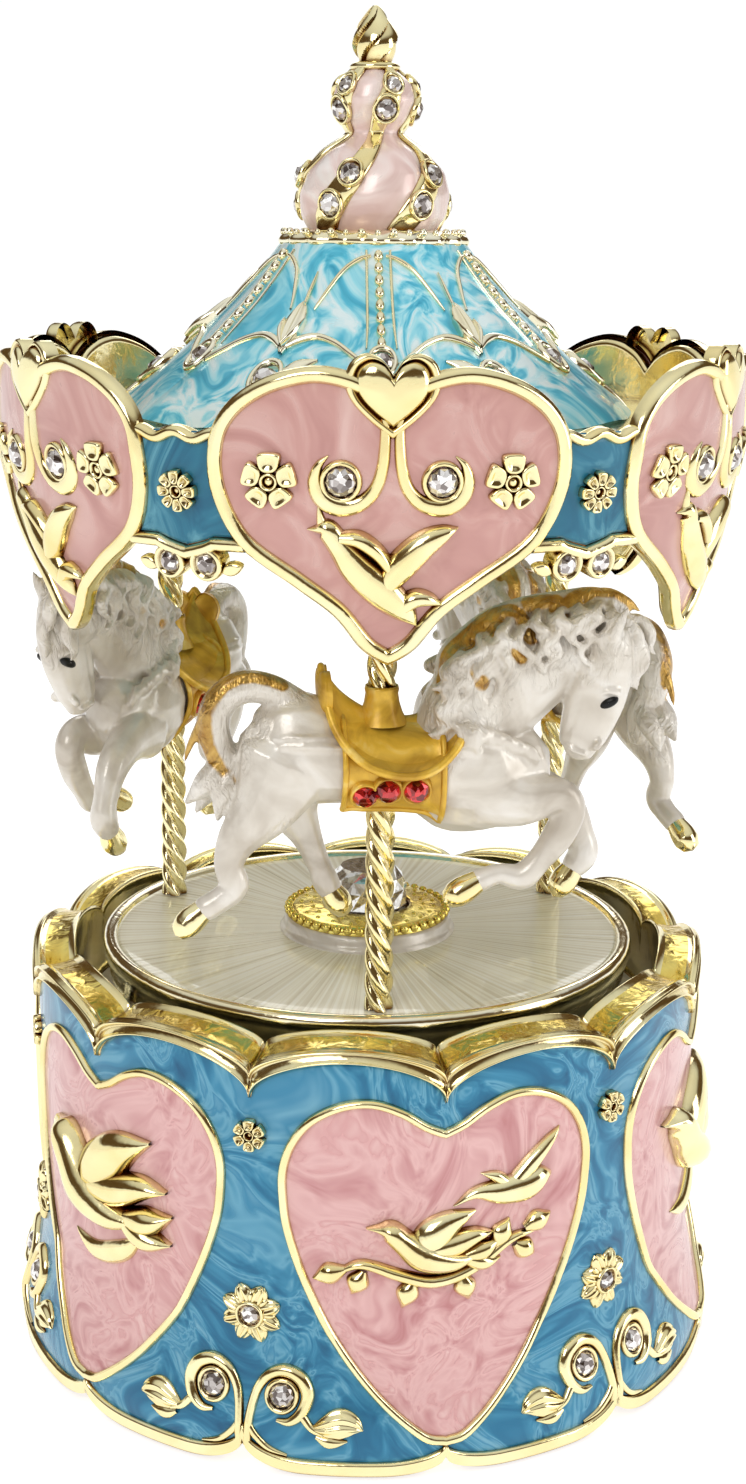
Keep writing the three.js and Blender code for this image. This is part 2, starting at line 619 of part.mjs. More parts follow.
function horse() {
  const mane = [[8.8, 0.5, 90.6, 1.2], [12.2, 1, 95.8, 1.8], [18.2, 1.2, 98, 1.7], [24.6, 1.4, 97.6, 1.7]];
  mane.push([28.2, 1.6, 93.4, 1]);
  const pieces = [
    torso(0),
    neck(0),
    limb(
      [[18.6, 1, 97, 2.6, 3], [23.2, 1.2, 92, 2.6, 4], [24, 1.2, 86.5, 2, 2.8], [23.2, 1.2, 82.6, 1.5, 1.8]],
      6,
    ),
    limb(mane),
    limb([[12.6, -2.6, 79, 2.4], [21.2, -3, 77.2, 1.5], [14.8, -3, 71.4, 1.1], [8.4, -3, 66, 1.4]]),
    limb([[13, 2.6, 79, 2.4], [21.6, 3, 73.4, 1.5], [22.3, 3, 69, 1.1], [22.3, 3, 63.8, 1.4]]),
    limb([[-8.6, 2.4, 79.4, 3], [-10.4, 3, 71.4, 1.7], [-7.4, 3, 67, 1.1], [-4.4, 3, 63, 1.4]]),
    limb([[-12.6, -2.4, 80, 3], [-17, -3, 72, 1.7], [-18.6, -3, 67.6, 1.1], [-21.4, -3, 63, 1.4]]),
    limb([[-15, 0, 86.2, 1.6], [-15.8, -0.4, 89.6, 1.5], [-19, -0.8, 85, 1.9], [-21, -1, 75, 0.9]]),
  ];
  return cut(join(...pieces), cylinder(SADDLE_HOLE, 60, 100, 0, 0, 10));
}

// Blanket flaps that follow the body, with a high cantle behind and a pommel in front.
function saddle() {
  const window = box(-4.6, 6.3, -8, 8, 75.6, 92);
  const shell = common(torso(1.35), window);
  const cantle = limb([[-2.4, 0, 86, 3, 1.4], [-4.6, 0, 88.6, 2.4, 0.9], [-6.4, 0, 91.3, 1, 0.5]]);
  const pommel = limb([[4.6, 0, 86, 2.4, 1.2], [6.4, 0, 89.2, 0.9, 0.7]]);
  return cut(join(shell, cantle, pommel), torso(GAP), neck(GAP + 0.1), cylinder(SADDLE_HOLE, 60, 100, 0, 0, 10));
}

// Moves a piece drawn in the horse's frame to its pole.
const HORSE_YAW = 5;
const toPole = (angle) => {
  const [x, y] = onCircle(POLE.circle, angle);
  return move(x, y, 0).multiply(rotZ(angle + HORSE_YAW));
};

function pole() {
  const { radius, spigot, top, end } = POLE;
  const foot = TURNTABLE.enamel + GAP;
  const outline = [[0, 46.2], [spigot, 46.2], [spigot, foot], [radius, foot]];
  outline.push([radius, top], [spigot, top], [spigot, end], [0, end]);
  return turned(outline, 10);
}

function poleNut() {
  return cut(cylinder(2.3, 46.6, TURNTABLE.under - GAP, 0, 0, 6), cylinder(PIN_HOLE, 40, 60, 0, 0, 10));
}

const horseShape = horse();
const saddleShape = saddle();
POLE_ANGLES.forEach((angle, i) => {
  const place = toPole(angle);
  add(carousel, `pole_${i + 1}`, pole().applyMatrix4(place), GOLD);
  add(carousel, `pole_nut_${i + 1}`, poleNut().applyMatrix4(place), STEEL);
  add(carousel, `horse_${i + 1}`, horseShape.clone().applyMatrix4(place), PEARL);
  add(carousel, `saddle_${i + 1}`, saddleShape.clone().applyMatrix4(place), OLD_GOLD);
});

// ---------------------------------------------------------------- canopy crown and roof
const CANOPY_SCREWS = { circle: 28.6, angles: [60, 180, 300] };

const crownRadius = (z) =>
  THREE.MathUtils.mapLinear(Math.min(z, CROWN.highZ), CROWN.lowZ, CROWN.highZ, CROWN.low, CROWN.radius);

// Six hearts with panels between them: the band's edges follow the hearts and the panels.
function crownSection(angle) {
  const fromHeart = Math.abs(((angle + SECTOR / 2) % SECTOR) - SECTOR / 2);
  const arc = radians(fromHeart) * CROWN.radius;
  const heartEnd = HEART_TOP[HEART_TOP.length - 1][0];
  const top = arc < heartEnd ? Math.max(along(HEART_TOP, arc), PANEL.top) : PANEL.top;
  const heartLow = HEART_LOW.map(([u, z]) => [(u * CROWN.radius) / crownRadius(z), z]);
  const panelLow = THREE.MathUtils.mapLinear(fromHeart, 18, SECTOR / 2, PANEL.bottom, PANEL.cusp);
  const low = arc < heartEnd ? Math.min(along(heartLow, arc), panelLow) : panelLow;
  const innerRadius = (z) => crownRadius(z) - CROWN.wall;
  const ledgeTop = LEDGE.z + LEDGE.thick;
  return [
    [innerRadius(low), low],
    [crownRadius(low), low],
    [crownRadius(CROWN.highZ), CROWN.highZ],
    [crownRadius(top), top],
    [innerRadius(top), top],
    [innerRadius(ledgeTop), ledgeTop],
    [LEDGE.hole, ledgeTop],
    [LEDGE.hole, LEDGE.z],
    [innerRadius(LEDGE.z), LEDGE.z],
  ];
}

function canopyCrown() {
  const band = shapedRing(crownSection, COLUMNS);
  const poleHoles = POLE_ANGLES.map((angle) =>
    cylinder(PIN_HOLE, 110, POLE.end + GAP, ...onCircle(POLE.circle, angle), 10),
  );
  const screwHoles = screwPlaces(CANOPY_SCREWS).map(([x, y]) => cylinder(1.3, 110, 120, x, y, 8));
  return cut(band, ...poleHoles, ...screwHoles);
}

// Thin bell-shaped shell with a foot flange below and a round flange on top.
function roofCone() {
  const { foot, z, footHeight, wall, flange, flangeZ, flangeTop } = ROOF;
  const inner = ROOF_CURVE.slice(1).map(([r, height]) => [r - wall, height - 0.7 * wall]).reverse();
  const [neck] = inner;
  const profile = [
    [foot - 5, z],
    [foot, z],
    ...ROOF_CURVE,
    [flange, flangeZ],
    [flange + 0.3, (flangeZ + flangeTop) / 2],
    [flange, flangeTop],
    [STUD.radius + GAP, flangeTop],
    [STUD.radius + GAP, neck[1]],
    ...inner.slice(0, -1),
    [foot - 5, z + footHeight],
  ];
  const shell = turned(profile, 30, true);
  const holes = screwPlaces(CANOPY_SCREWS).map(([x, y]) => cylinder(1.2, 110, z + 1.5, x, y, 8));
  return cut(shell, ...holes);
}

add(carousel, "canopy_crown", canopyCrown(), GOLD);
add(carousel, "roof_cone", roofCone(), SKY_ENAMEL);
screwPlaces(CANOPY_SCREWS).forEach(([x, y], i) =>
  add(carousel, `canopy_screw_${i + 1}`, screw(x, y, LEDGE.z - GAP, 3.6, 1.8), STEEL),
);

// ---------------------------------------------------------------- finial
function finialBody() {
  const low = ROOF.flangeTop + GAP;
  const profile = [[0, low], [7.7, low], [8.5, 141], [8.85, 143.4], [8.2, 146], [6, 148.4]];
  profile.push([3.2, 149.6], [2.97, 150.2]);
  profile.push([4, 151.6], [4.9, 154.2], [4.3, 156.2], [2.2, 157.5], [0, 157.5]);
  return cut(turned(profile, 18), cylinder(STUD.radius + GAP, 130, STUD.top + GAP, 0, 0, 8));
}

function finialBud() {
  const outline = [[0, 157.8], [1.8, 158], [1.9, 158.8], [2.53, 160.5], [2.2, 162.4], [1.2, 164.2]];
  return turned([...outline, [0, TOTAL_HEIGHT]], 12);
}

function finialNut() {
  const seat = ROOF.flangeZ - 0.7 * ROOF.wall - GAP;
  return cut(cylinder(2.6, 133, seat, 0, 0, 6), cylinder(STUD.radius + GAP, 120, 145, 0, 0, 8));
}

add(carousel, "finial_body", finialBody(), PINK_ENAMEL);
add(carousel, "finial_bud", finialBud(), GOLD);
add(carousel, "finial_stud", cylinder(STUD.radius, STUD.low, STUD.top, 0, 0, 8), STEEL);
add(carousel, "finial_nut", finialNut(), STEEL);

export default musicBox;
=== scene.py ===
import json
import math
import random

import bpy
import numpy as np
from mathutils import Matrix, Vector
from mathutils.kdtree import KDTree


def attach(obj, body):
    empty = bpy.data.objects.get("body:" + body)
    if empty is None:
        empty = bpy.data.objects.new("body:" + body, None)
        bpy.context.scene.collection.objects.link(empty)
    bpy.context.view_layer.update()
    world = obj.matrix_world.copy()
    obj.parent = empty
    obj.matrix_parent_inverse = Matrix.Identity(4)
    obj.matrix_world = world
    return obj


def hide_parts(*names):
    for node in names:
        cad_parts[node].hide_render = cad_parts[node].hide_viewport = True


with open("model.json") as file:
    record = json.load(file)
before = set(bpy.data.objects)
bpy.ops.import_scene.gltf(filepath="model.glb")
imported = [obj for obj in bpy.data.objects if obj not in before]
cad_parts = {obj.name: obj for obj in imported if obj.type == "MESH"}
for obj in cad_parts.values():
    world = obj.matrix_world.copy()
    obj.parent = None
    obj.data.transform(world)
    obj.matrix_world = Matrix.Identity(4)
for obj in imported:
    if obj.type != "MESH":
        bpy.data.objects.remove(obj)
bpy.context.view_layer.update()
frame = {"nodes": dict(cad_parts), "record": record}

# Lengths are in millimetres and angles in degrees until a mesh is made.
MM = 0.001
CAROUSEL_REST = -9.5  # the carousel's turn at rest, about +Z
SECTORS = range(0, 360, 60)  # one heart in each sector
BETWEEN = range(30, 390, 60)  # the middles of the panels between hearts
HORSE_ANGLES = (0, 120, 240)
POLE_CIRCLE = 29.5


# ---------------------------------------------------------------- shapes

class Shape:
    """Points in millimetres and the faces between them, gathered into one piece."""

    def __init__(self):
        self.points = []
        self.faces = []
        self.count = 0

    def add(self, points, faces):
        points = np.asarray(points, float).reshape(-1, 3)
        self.points.append(points)
        self.faces.extend([tuple(self.count + i for i in face) for face in faces])
        self.count += len(points)

    def grid(self, points, round_rows=False, round_columns=False):
        """A sheet of quads; rows run one way and columns the other."""
        rows, columns = points.shape[:2]
        last_row = rows if round_rows else rows - 1
        last_column = columns if round_columns else columns - 1
        faces = []
        for i in range(last_row):
            for j in range(last_column):
                down, right = (i + 1) % rows, (j + 1) % columns
                faces.append((i * columns + j, down * columns + j,
                              down * columns + right, i * columns + right))
        self.add(points, faces)

    def merged(self, other, matrix=None):
        points = np.concatenate(other.points)
        if matrix is not None:
            points = points @ np.array(matrix)[:3, :3].T + np.array(matrix)[:3, 3]
        self.add(points, other.faces)


def linked(name, data):
    """A new object in the scene."""
    made = bpy.data.objects.new(name, data)
    bpy.context.scene.collection.objects.link(made)
    return made


def mesh_of(name, shape, scale=1.0):
    mesh = bpy.data.meshes.new(name)
    mesh.from_pydata((np.concatenate(shape.points) * scale).tolist(), [], shape.faces)
    mesh.validate()
    return mesh


def dressed(name, mesh, paint, smooth, sharp):
    """An object with one paint, shaded smooth or faceted."""
    mesh.polygons.foreach_set("use_smooth", [smooth] * len(mesh.polygons))
    if sharp:
        mesh.set_sharp_from_angle(angle=math.radians(sharp))
    mesh.materials.append(paint)
    return linked(name, mesh)


def make(name, shape, paint, body, stands_for=(), smooth=True, sharp=None):
    """Turns a shape into a piece that rides on a body."""
    piece = dressed(name, mesh_of(name, shape, MM), paint, smooth, sharp)
    if body == "carousel":
        piece.data.transform(Matrix.Rotation(math.radians(CAROUSEL_REST), 4, "Z"))
    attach(piece, body)
    if stands_for:
        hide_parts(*stands_for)


def rounds(count):
    """Evenly spaced turns round a whole circle."""
    return np.arange(count) * 2 * math.pi / count


def ring_points(radius, turn, z):
    """Points at a radius and height round Z; a turn of 0 faces the viewer."""
    return np.stack(np.broadcast_arrays(radius * np.sin(turn), -radius * np.cos(turn), z), -1)


def smooth_line(points, steps=8, closed=False):
    """A curve through the points, each row of any length."""
    points = np.asarray(points, float)
    count = len(points)
    if closed:
        wrapped = np.concatenate([points[-1:], points, points[:2]])
    else:
        before = 2 * points[:1] - points[1:2]
        after = 2 * points[-1:] - points[-2:-1]
        wrapped = np.concatenate([before, points, after])
    spans = count if closed else count - 1
    out = []
    for i in range(spans):
        a, b, c, d = wrapped[i:i + 4]
        for t in np.arange(steps) / steps:
            out.append(0.5 * (2 * b + (c - a) * t + (2 * a - 5 * b + 4 * c - d) * t ** 2
                              + (3 * b - a - 3 * c + d) * t ** 3))
    if not closed:
        out.append(points[-1])
    return np.array(out)


class Wall:
    """A surface of revolution to decorate: u runs round it, z up it and h out of it."""

    def __init__(self, profile, angle=0.0, blur=0.8):
        radii, heights = np.array(profile, float).T
        self.heights = np.linspace(heights[0], heights[-1], 400)
        raw = np.interp(self.heights, heights, radii)
        step = self.heights[1] - self.heights[0]
        reach = max(1, int(blur / step))
        padded = np.pad(raw, reach, mode="reflect", reflect_type="odd")
        self.radii = np.convolve(padded, np.ones(2 * reach + 1) / (2 * reach + 1), "valid")
        self.slopes = np.gradient(self.radii, self.heights)
        self.angle = angle

    def at(self, angle):
        other = Wall.__new__(Wall)
        other.__dict__ = dict(self.__dict__, angle=angle)
        return other

    def radius(self, z):
        return np.interp(z, self.heights, self.radii)

    def __call__(self, u, z, h=0.0):
        return self.turned(math.radians(self.angle) + np.asarray(u, float) / self.radius(z), z, h)

    def turned(self, turn, z, h=0.0):
        slope = np.interp(z, self.heights, self.slopes)
        steep = 1 / np.sqrt(1 + slope ** 2)
        radius = self.radius(z) + h * steep
        up = z - h * slope * steep
        return np.stack(np.broadcast_arrays(radius * np.sin(turn), -radius * np.cos(turn), up), -1)


def half_round(count=9, sunk=-0.5):
    turn = np.linspace(math.pi, 0, count)
    x = np.concatenate([[1.0], -np.cos(turn), [-1.0]])
    y = np.concatenate([[sunk], np.sin(turn), [sunk]])
    return np.stack([-x, y], 1)


def ribbed(ribs=3, depth=0.28, count=21):
    x = np.linspace(-1, 1, count)
    furrow = 0.5 - 0.5 * np.cos(2 * math.pi * ribs * (x + 1) / 2)
    y = np.sqrt(np.clip(1 - x ** 2, 0, 1)) * (1 - depth * furrow)
    return np.concatenate([[[-1, -0.4]], np.stack([x, y], 1), [[1, -0.4]]])


ROUND = half_round()
LEAF = ribbed()
BROAD = np.array([(-1, -0.5), (-1, 0.2), (-0.93, 0.6), (-0.78, 0.9), (-0.55, 1), (-0.2, 0.93), (0.2, 0.93),
                  (0.55, 1), (0.78, 0.9), (0.93, 0.6), (1, 0.2), (1, -0.5)], float)


def swept(shape, place, path, width, height, section=ROUND, closed=False, lift=0.0):
    """A raised band along a path of (u, z) points; its width and height may change along it."""
    path = np.asarray(path, float)
    if closed:
        tangent = np.roll(path, -1, 0) - np.roll(path, 1, 0)
    else:
        tangent = np.gradient(path, axis=0)
    tangent = tangent / np.maximum(np.linalg.norm(tangent, axis=1), 1e-9)[:, None]
    across = np.stack([-tangent[:, 1], tangent[:, 0]], 1)
    width = np.broadcast_to(width, len(path))
    height = np.broadcast_to(height, len(path))
    rows = []
    for x, y in section:
        line = path + across * (x * width / 2)[:, None]
        rows.append(place(line[:, 0], line[:, 1], lift + y * height))
    shape.grid(np.stack(rows, 1), round_rows=closed)


def stroke(shape, place, points, widths, height, section=ROUND, lift=0.0, steps=6):
    """A band along a few (u, z) points with a width at each; its height follows its width."""
    table = np.column_stack([np.asarray(points, float), np.asarray(widths, float)])
    line = smooth_line(table, steps)
    width = np.maximum(line[:, 2], 0.04)
    swept(shape, place, line[:, :2], width, height * np.sqrt(width / max(widths)), section, lift=lift)


DOME = [(1, -0.5), (1, 0.0), (0.985, 0.3), (0.94, 0.55), (0.85, 0.76), (0.7, 0.9), (0.5, 0.97), (0.25, 1),
        (0.01, 1)]
MENISCUS = [(1, -0.3), (0.995, 0.5), (0.98, 0.85), (0.95, 1), (0.85, 0.98), (0.7, 0.95), (0.5, 0.95),
            (0.25, 0.95),
            (0.01, 0.95)]


def domed(shape, place, outline, height, centre=None, section=DOME, lift=0.0):
    """A cushion over a closed counter-clockwise outline of (u, z) points."""
    outline = np.asarray(outline, float)
    centre = outline.mean(0) if centre is None else np.asarray(centre, float)
    rows = []
    for share, rise in section:
        line = centre + (outline - centre) * share
        rows.append(place(line[:, 0], line[:, 1], lift + rise * height))
    shape.grid(np.stack(rows, 1), round_rows=True)
    shape.add(rows[-1], [tuple(range(len(outline)))])


def circle(u, z, radius, count=20):
    turn = np.linspace(0, 2 * math.pi, count, endpoint=False)
    return np.stack([u + radius * np.cos(turn), z + radius * np.sin(turn)], 1)


def leaf_outline(u, z, long, wide, turn, count=20, pointed=0.6):
    """A petal with its foot at (u, z), pointing along turn degrees."""
    t = np.linspace(0, 2 * math.pi, count, endpoint=False)
    along = (1 - np.cos(t)) / 2 * long
    side = np.sign(np.sin(t)) * np.abs(np.sin(t)) ** (1 + pointed) * wide / 2
    a = math.radians(turn)
    return np.stack([u + along * math.cos(a) + side * math.sin(a),
                     z + along * math.sin(a) - side * math.cos(a)], 1)


def gem(shape, place, u, z, radius, lift=0.1, sides=10, tall=0.5):
    """A round brilliant: table, crown facets and girdle."""
    foot = place(u, z, lift)
    out = place(u, z, lift + 1.0) - foot
    side = place(u + 0.5, z, lift) - place(u - 0.5, z, lift)
    side = side / np.linalg.norm(side)
    up = np.cross(out, side)
    turn = np.linspace(0, 2 * math.pi, sides, endpoint=False)

    def ring(size, height, shift):
        a = turn + shift
        around = np.cos(a)[:, None] * side + np.sin(a)[:, None] * up
        return foot + size * radius * around + out * height * radius

    half = math.pi / sides
    rings = [ring(1, -0.5, 0), ring(1, 0.05, 0), ring(0.82, 0.55 * tall, half), ring(0.55, tall, 0)]
    faces = []
    for i in range(sides):
        j = (i + 1) % sides
        faces.append((i, j, sides + j, sides + i))
        faces.append((sides + i, sides + j, 2 * sides + i))
        faces.append((sides + j, 2 * sides + j, 2 * sides + i))
        faces.append((2 * sides + i, 3 * sides + j, 3 * sides + i))
        faces.append((2 * sides + i, 2 * sides + j, 3 * sides + j))
    faces.append(tuple(3 * sides + i for i in range(sides)))
    shape.add(np.concatenate(rings), faces)


def bezel(shape, place, u, z, radius, width=0.5, height=0.5, lift=0.0):
    swept(shape, place, circle(u, z, radius, 24), width, height, closed=True, lift=lift)


def bead(shape, place, u, z, radius, tall=None, lift=0.0):
    domed(shape, place, circle(u, z, radius, 12), radius if tall is None else tall, lift=lift,
          section=[(1, -0.3), (1, 0.1), (0.92, 0.42), (0.75, 0.68), (0.5, 0.88), (0.25, 0.98), (0.01, 1)])


def lathe(shape, profile, columns=180, inside=False):
    """A ring of (radius, z) points turned round Z; the profile runs so that outside faces out."""
    profile = np.asarray(profile, float)
    turn = np.radians(np.arange(columns) * 360 / columns)
    rows = np.stack([ring_points(r, turn, z) for r, z in profile], 1)
    shape.grid(rows, round_rows=True, round_columns=inside)


def tube(shape, nodes, sides=14, steps=5, side=(0, 1, 0), cap=True):
    """A limb through rows of (x, y, z, half width, half depth), closed at both ends."""
    line = smooth_line(nodes, steps)
    centre, size = line[:, :3], np.maximum(line[:, 3:5], 0.05)
    tangent = np.gradient(centre, axis=0)
    tangent = tangent / np.maximum(np.linalg.norm(tangent, axis=1), 1e-9)[:, None]
    wide = np.asarray(side, float) - tangent * (tangent @ np.asarray(side, float))[:, None]
    wide = wide / np.maximum(np.linalg.norm(wide, axis=1), 1e-9)[:, None]
    deep = np.cross(tangent, wide)
    if cap:
        first, last = size[0].min(), size[-1].min()
        for share, back in ((0.7, 0.7), (0.05, 1.0)):
            centre = np.concatenate([[line[0, :3] - tangent[0] * first * back], centre,
                                     [line[-1, :3] + tangent[-1] * last * back]])
            size = np.concatenate([[line[0, 3:5] * share], size, [line[-1, 3:5] * share]])
            wide = np.concatenate([wide[:1], wide, wide[-1:]])
            deep = np.concatenate([deep[:1], deep, deep[-1:]])
    turn = np.linspace(0, 2 * math.pi, sides, endpoint=False)
    rows = (centre[:, None] + wide[:, None] * (np.cos(turn)[None, :] * size[:, :1])[..., None]
            + deep[:, None] * (np.sin(turn)[None, :] * size[:, 1:])[..., None])
    start = shape.count
    shape.grid(rows, round_columns=True)
    total = shape.count - start
    shape.faces.append(tuple(start + i for i in reversed(range(sides))))
    shape.faces.append(tuple(start + total - sides + i for i in range(sides)))


# ---------------------------------------------------------------- materials

def fill_ramp(band, stops):
    while len(band.elements) < len(stops):
        band.elements.new(0.5)
    for element, (position, colour) in zip(band.elements, stops):
        element.position = position
        element.color = (*colour, 1)


class Paint:
    """A node material being wired up, laid out in object space."""

    def __init__(self, name, **inputs):
        self.material = bpy.data.materials.new(name)
        self.material.use_nodes = True
        self.nodes = self.material.node_tree.nodes
        self.links = self.material.node_tree.links
        self.shader = self.nodes["Principled BSDF"]
        for key, value in inputs.items():
            self.shader.inputs[key.replace("_", " ")].default_value = value
        self.place = self.nodes.new("ShaderNodeTexCoord").outputs["Object"]

    def node(self, kind, outlet=0, settings=None, **inputs):
        made = self.nodes.new("ShaderNode" + kind)
        for key, value in (settings or {}).items():
            setattr(made, key, value)
        for key, value in inputs.items():
            numbered = key[0] == "i" and key[1:].isdigit()
            self.feed(made.inputs[int(key[1:]) if numbered else key.replace("_", " ")], value)
        return made.outputs[outlet]

    def feed(self, socket, value):
        """Links a socket, or sets its number or colour."""
        if isinstance(value, bpy.types.NodeSocket):
            self.links.new(value, socket)
        else:
            socket.default_value = value

    def stretched(self, factors, vector=None):
        vector = self.place if vector is None else vector
        return self.node("VectorMath", 0, {"operation": "MULTIPLY"}, i0=vector, i1=factors)

    def noise(self, scale, detail=2.0, distortion=0.0, roughness=0.5, vector=None, outlet="Fac"):
        return self.node("TexNoise", outlet, Vector=self.place if vector is None else vector, Scale=scale,
                         Detail=detail, Distortion=distortion, Roughness=roughness)

    def moved(self, scale, amount, detail=1.0, vector=None):
        """The place, pushed about by a slow noise."""
        push = self.noise(scale, detail, vector=vector, outlet="Color")
        centred = self.node("VectorMath", 0, {"operation": "SUBTRACT"}, i0=push, i1=(0.5, 0.5, 0.5))
        scaled = self.node("VectorMath", 0, {"operation": "SCALE"}, i0=centred, Scale=amount)
        vector = self.place if vector is None else vector
        return self.node("VectorMath", 0, {"operation": "ADD"}, i0=vector, i1=scaled)

    def maths(self, operation, a, b=0.0):
        return self.node("Math", 0, {"operation": operation}, i0=a, i1=b)

    def ramp(self, factor, stops):
        made = self.nodes.new("ShaderNodeValToRGB")
        fill_ramp(made.color_ramp, stops)
        self.links.new(factor, made.inputs["Fac"])
        return made.outputs["Color"]

    def blend(self, factor, a, b):
        made = self.nodes.new("ShaderNodeMix")
        made.data_type = "RGBA"
        for place, value in ((0, factor), (6, a), (7, b)):
            self.feed(made.inputs[place], (*value, 1) if isinstance(value, tuple) else value)
        return made.outputs[2]

    def spread(self, factor, low, high):
        return self.node("MapRange", 0, None, Value=factor, To_Min=low, To_Max=high)

    def bump(self, height, depth, strength=1.0):
        """depth is in metres."""
        self.wire("Normal", self.node("Bump", 0, None, Height=height, Distance=depth, Strength=strength))

    def wire(self, name, outlet):
        self.links.new(outlet, self.shader.inputs[name])
        return self


CREASE_SHADE_REACH = 0.0013  # how far from a corner the painted brown shade reaches into the gold


def gold_paint(name="pale_gold", light=(0.95, 0.87, 0.52), dark=(0.88, 0.74, 0.36), rough=(0.07, 0.2),
               hammer=6e-6, shade_creases=True):
    paint = Paint(name, Metallic=1.0)
    tone = paint.noise(90, 3, 0.6)
    polished = paint.ramp(tone, [(0.3, dark), (0.62, light)])
    if shade_creases:
        # Painted shade: brown where ambient occlusion finds the gold hemmed in by nearby relief, standing
        # in for dark reflections in its creases.
        open_sky = paint.node("AmbientOcclusion", "AO", {"samples": 8}, Distance=CREASE_SHADE_REACH)
        unshaded = paint.node("MapRange", 0, None, Value=open_sky, From_Min=0.45, From_Max=0.78)
        polished = paint.blend(unshaded, (0.24, 0.11, 0.025), polished)
    paint.wire("Base Color", polished)
    paint.wire("Roughness", paint.spread(paint.noise(260, 3), *rough))
    ripple = paint.noise(420, 2, 0.4)
    paint.bump(ripple, hammer * 10)
    return paint.material


def marbled_paint(name, stops, scale=95, stretch=(1, 1, 1), swirl=0.016, metallic=0.12, rough=0.28):
    """Pearl enamel: brushed swirls of light and deep colour under a clear glossy coat."""
    paint = Paint(name, Metallic=metallic, Roughness=rough, Coat_Weight=0.5, Coat_Roughness=0.04,
                  Coat_IOR=1.4, Specular_IOR_Level=0.25)
    drift = paint.moved(60, swirl * 1.5, 0.0, paint.stretched(stretch))
    warped = paint.moved(150, swirl * 0.5, 0.0, drift)
    streak = paint.noise(scale * 1.05, 3, 2.6, 0.5, warped)
    paint.wire("Base Color", paint.ramp(streak, stops))
    paint.wire("Roughness", paint.spread(streak, rough + 0.1, rough - 0.08))
    paint.bump(paint.noise(60, 2), 8e-5, 0.5)
    return paint.material


def pearl_paint(name="pearl_white", tint=(0.74, 0.69, 0.61), shade=(0.52, 0.46, 0.38)):
    """White pearl lacquer; where the mesh says so it turns to rubbed bronze gold."""
    paint = Paint(name, Coat_Weight=0.5, Coat_Roughness=0.12, Coat_IOR=1.5)
    cloud = paint.noise(170, 3, 0.7)
    white = paint.ramp(cloud, [(0.28, shade), (0.55, tint), (0.8, (0.88, 0.85, 0.80))])
    worn = paint.noise(700, 3, 0.2)
    gilt = paint.node("Attribute", "Fac", {"attribute_name": "gilt"})
    patchy = paint.maths("MULTIPLY", gilt, paint.spread(worn, 0.55, 1.45))
    edge = paint.node("MapRange", 0, None, Value=patchy, From_Min=0.35, From_Max=0.6)
    bronze = paint.ramp(worn, [(0.3, (0.34, 0.17, 0.03)), (0.7, (0.66, 0.43, 0.12))])
    paint.wire("Base Color", paint.blend(edge, white, bronze))
    paint.wire("Metallic", paint.spread(edge, 0.18, 0.9))
    paint.wire("Roughness", paint.spread(cloud, 0.38, 0.24))
    flow = paint.stretched((1, 1, 0.28), paint.moved(220, 0.004))
    strands = paint.noise(1500, 2, 0.4, 0.6, flow)
    hair = paint.node("Attribute", "Fac", {"attribute_name": "hair"})
    height = paint.maths("ADD", paint.maths("MULTIPLY", strands, paint.maths("MULTIPLY", hair, 3.2)),
                         paint.maths("MULTIPLY", paint.noise(900, 3, 0.3), 0.45))
    paint.bump(height, 1.6e-4, 0.9)
    return paint.material


def dial_paint(name="cream_dial"):
    """Cream enamel over radial engine-turned lines."""
    paint = Paint(name, Metallic=0.05, Coat_Weight=0.6, Coat_Roughness=0.04, Coat_IOR=1.5)
    parts = paint.nodes.new("ShaderNodeSeparateXYZ")
    paint.links.new(paint.place, parts.inputs[0])
    turn = paint.maths("ARCTAN2", parts.outputs["Y"], parts.outputs["X"])
    out = paint.node("VectorMath", "Value", {"operation": "LENGTH"}, i0=paint.place)
    lines = paint.nodes.new("ShaderNodeCombineXYZ")
    paint.links.new(paint.maths("MULTIPLY", turn, 34.0), lines.inputs[0])
    paint.links.new(paint.maths("MULTIPLY", out, 14.0), lines.inputs[1])
    coarse = paint.noise(1.0, 3, 0.0, 0.6, lines.outputs[0])
    wave = paint.maths("SINE", paint.maths("MULTIPLY", turn, 180.0))
    fine = paint.spread(wave, 0.0, 1.0)
    both = paint.maths("ADD", paint.maths("MULTIPLY", coarse, 0.8), paint.maths("MULTIPLY", fine, 0.14))
    colour = paint.ramp(both, [(0.3, (0.72, 0.66, 0.46)), (0.48, (0.95, 0.92, 0.74)),
                               (0.72, (1.0, 1.0, 0.93))])
    paint.wire("Base Color", colour)
    paint.wire("Roughness", paint.spread(coarse, 0.2, 0.42))
    paint.bump(both, 8e-5, 0.7)
    return paint.material


def stone_paint(name, glint_colour, deep, shade):
    """A foiled glass stone with painted reflections: random cells of light and dark colour stand for its
    facets catching and missing the light.
    """
    paint = Paint(name, Metallic=0.75, Roughness=0.04, Coat_Weight=1.0, Coat_Roughness=0.01, Coat_IOR=1.6)
    facet_glints = paint.node("TexVoronoi", "Color", None, Vector=paint.place, Scale=1500.0)
    value = paint.node("RGBToBW", 0, None, Color=facet_glints)
    paint.wire("Base Color", paint.ramp(value, [(0.25, shade), (0.5, deep), (0.75, glint_colour)]))
    paint.bump(value, 6e-5, 0.5)
    return paint.material


def lacquer_paint(name="ochre_lacquer"):
    paint = Paint(name, Metallic=0.4, Coat_Weight=0.3, Coat_Roughness=0.2)
    cloud = paint.noise(240, 4, 0.8)
    paint.wire("Base Color", paint.ramp(cloud, [(0.3, (0.46, 0.24, 0.015)), (0.55, (0.80, 0.50, 0.05)),
                                               (0.8, (0.95, 0.80, 0.34))]))
    paint.wire("Roughness", paint.spread(cloud, 0.5, 0.3))
    paint.bump(paint.noise(1200, 2), 5e-5, 0.7)
    return paint.material


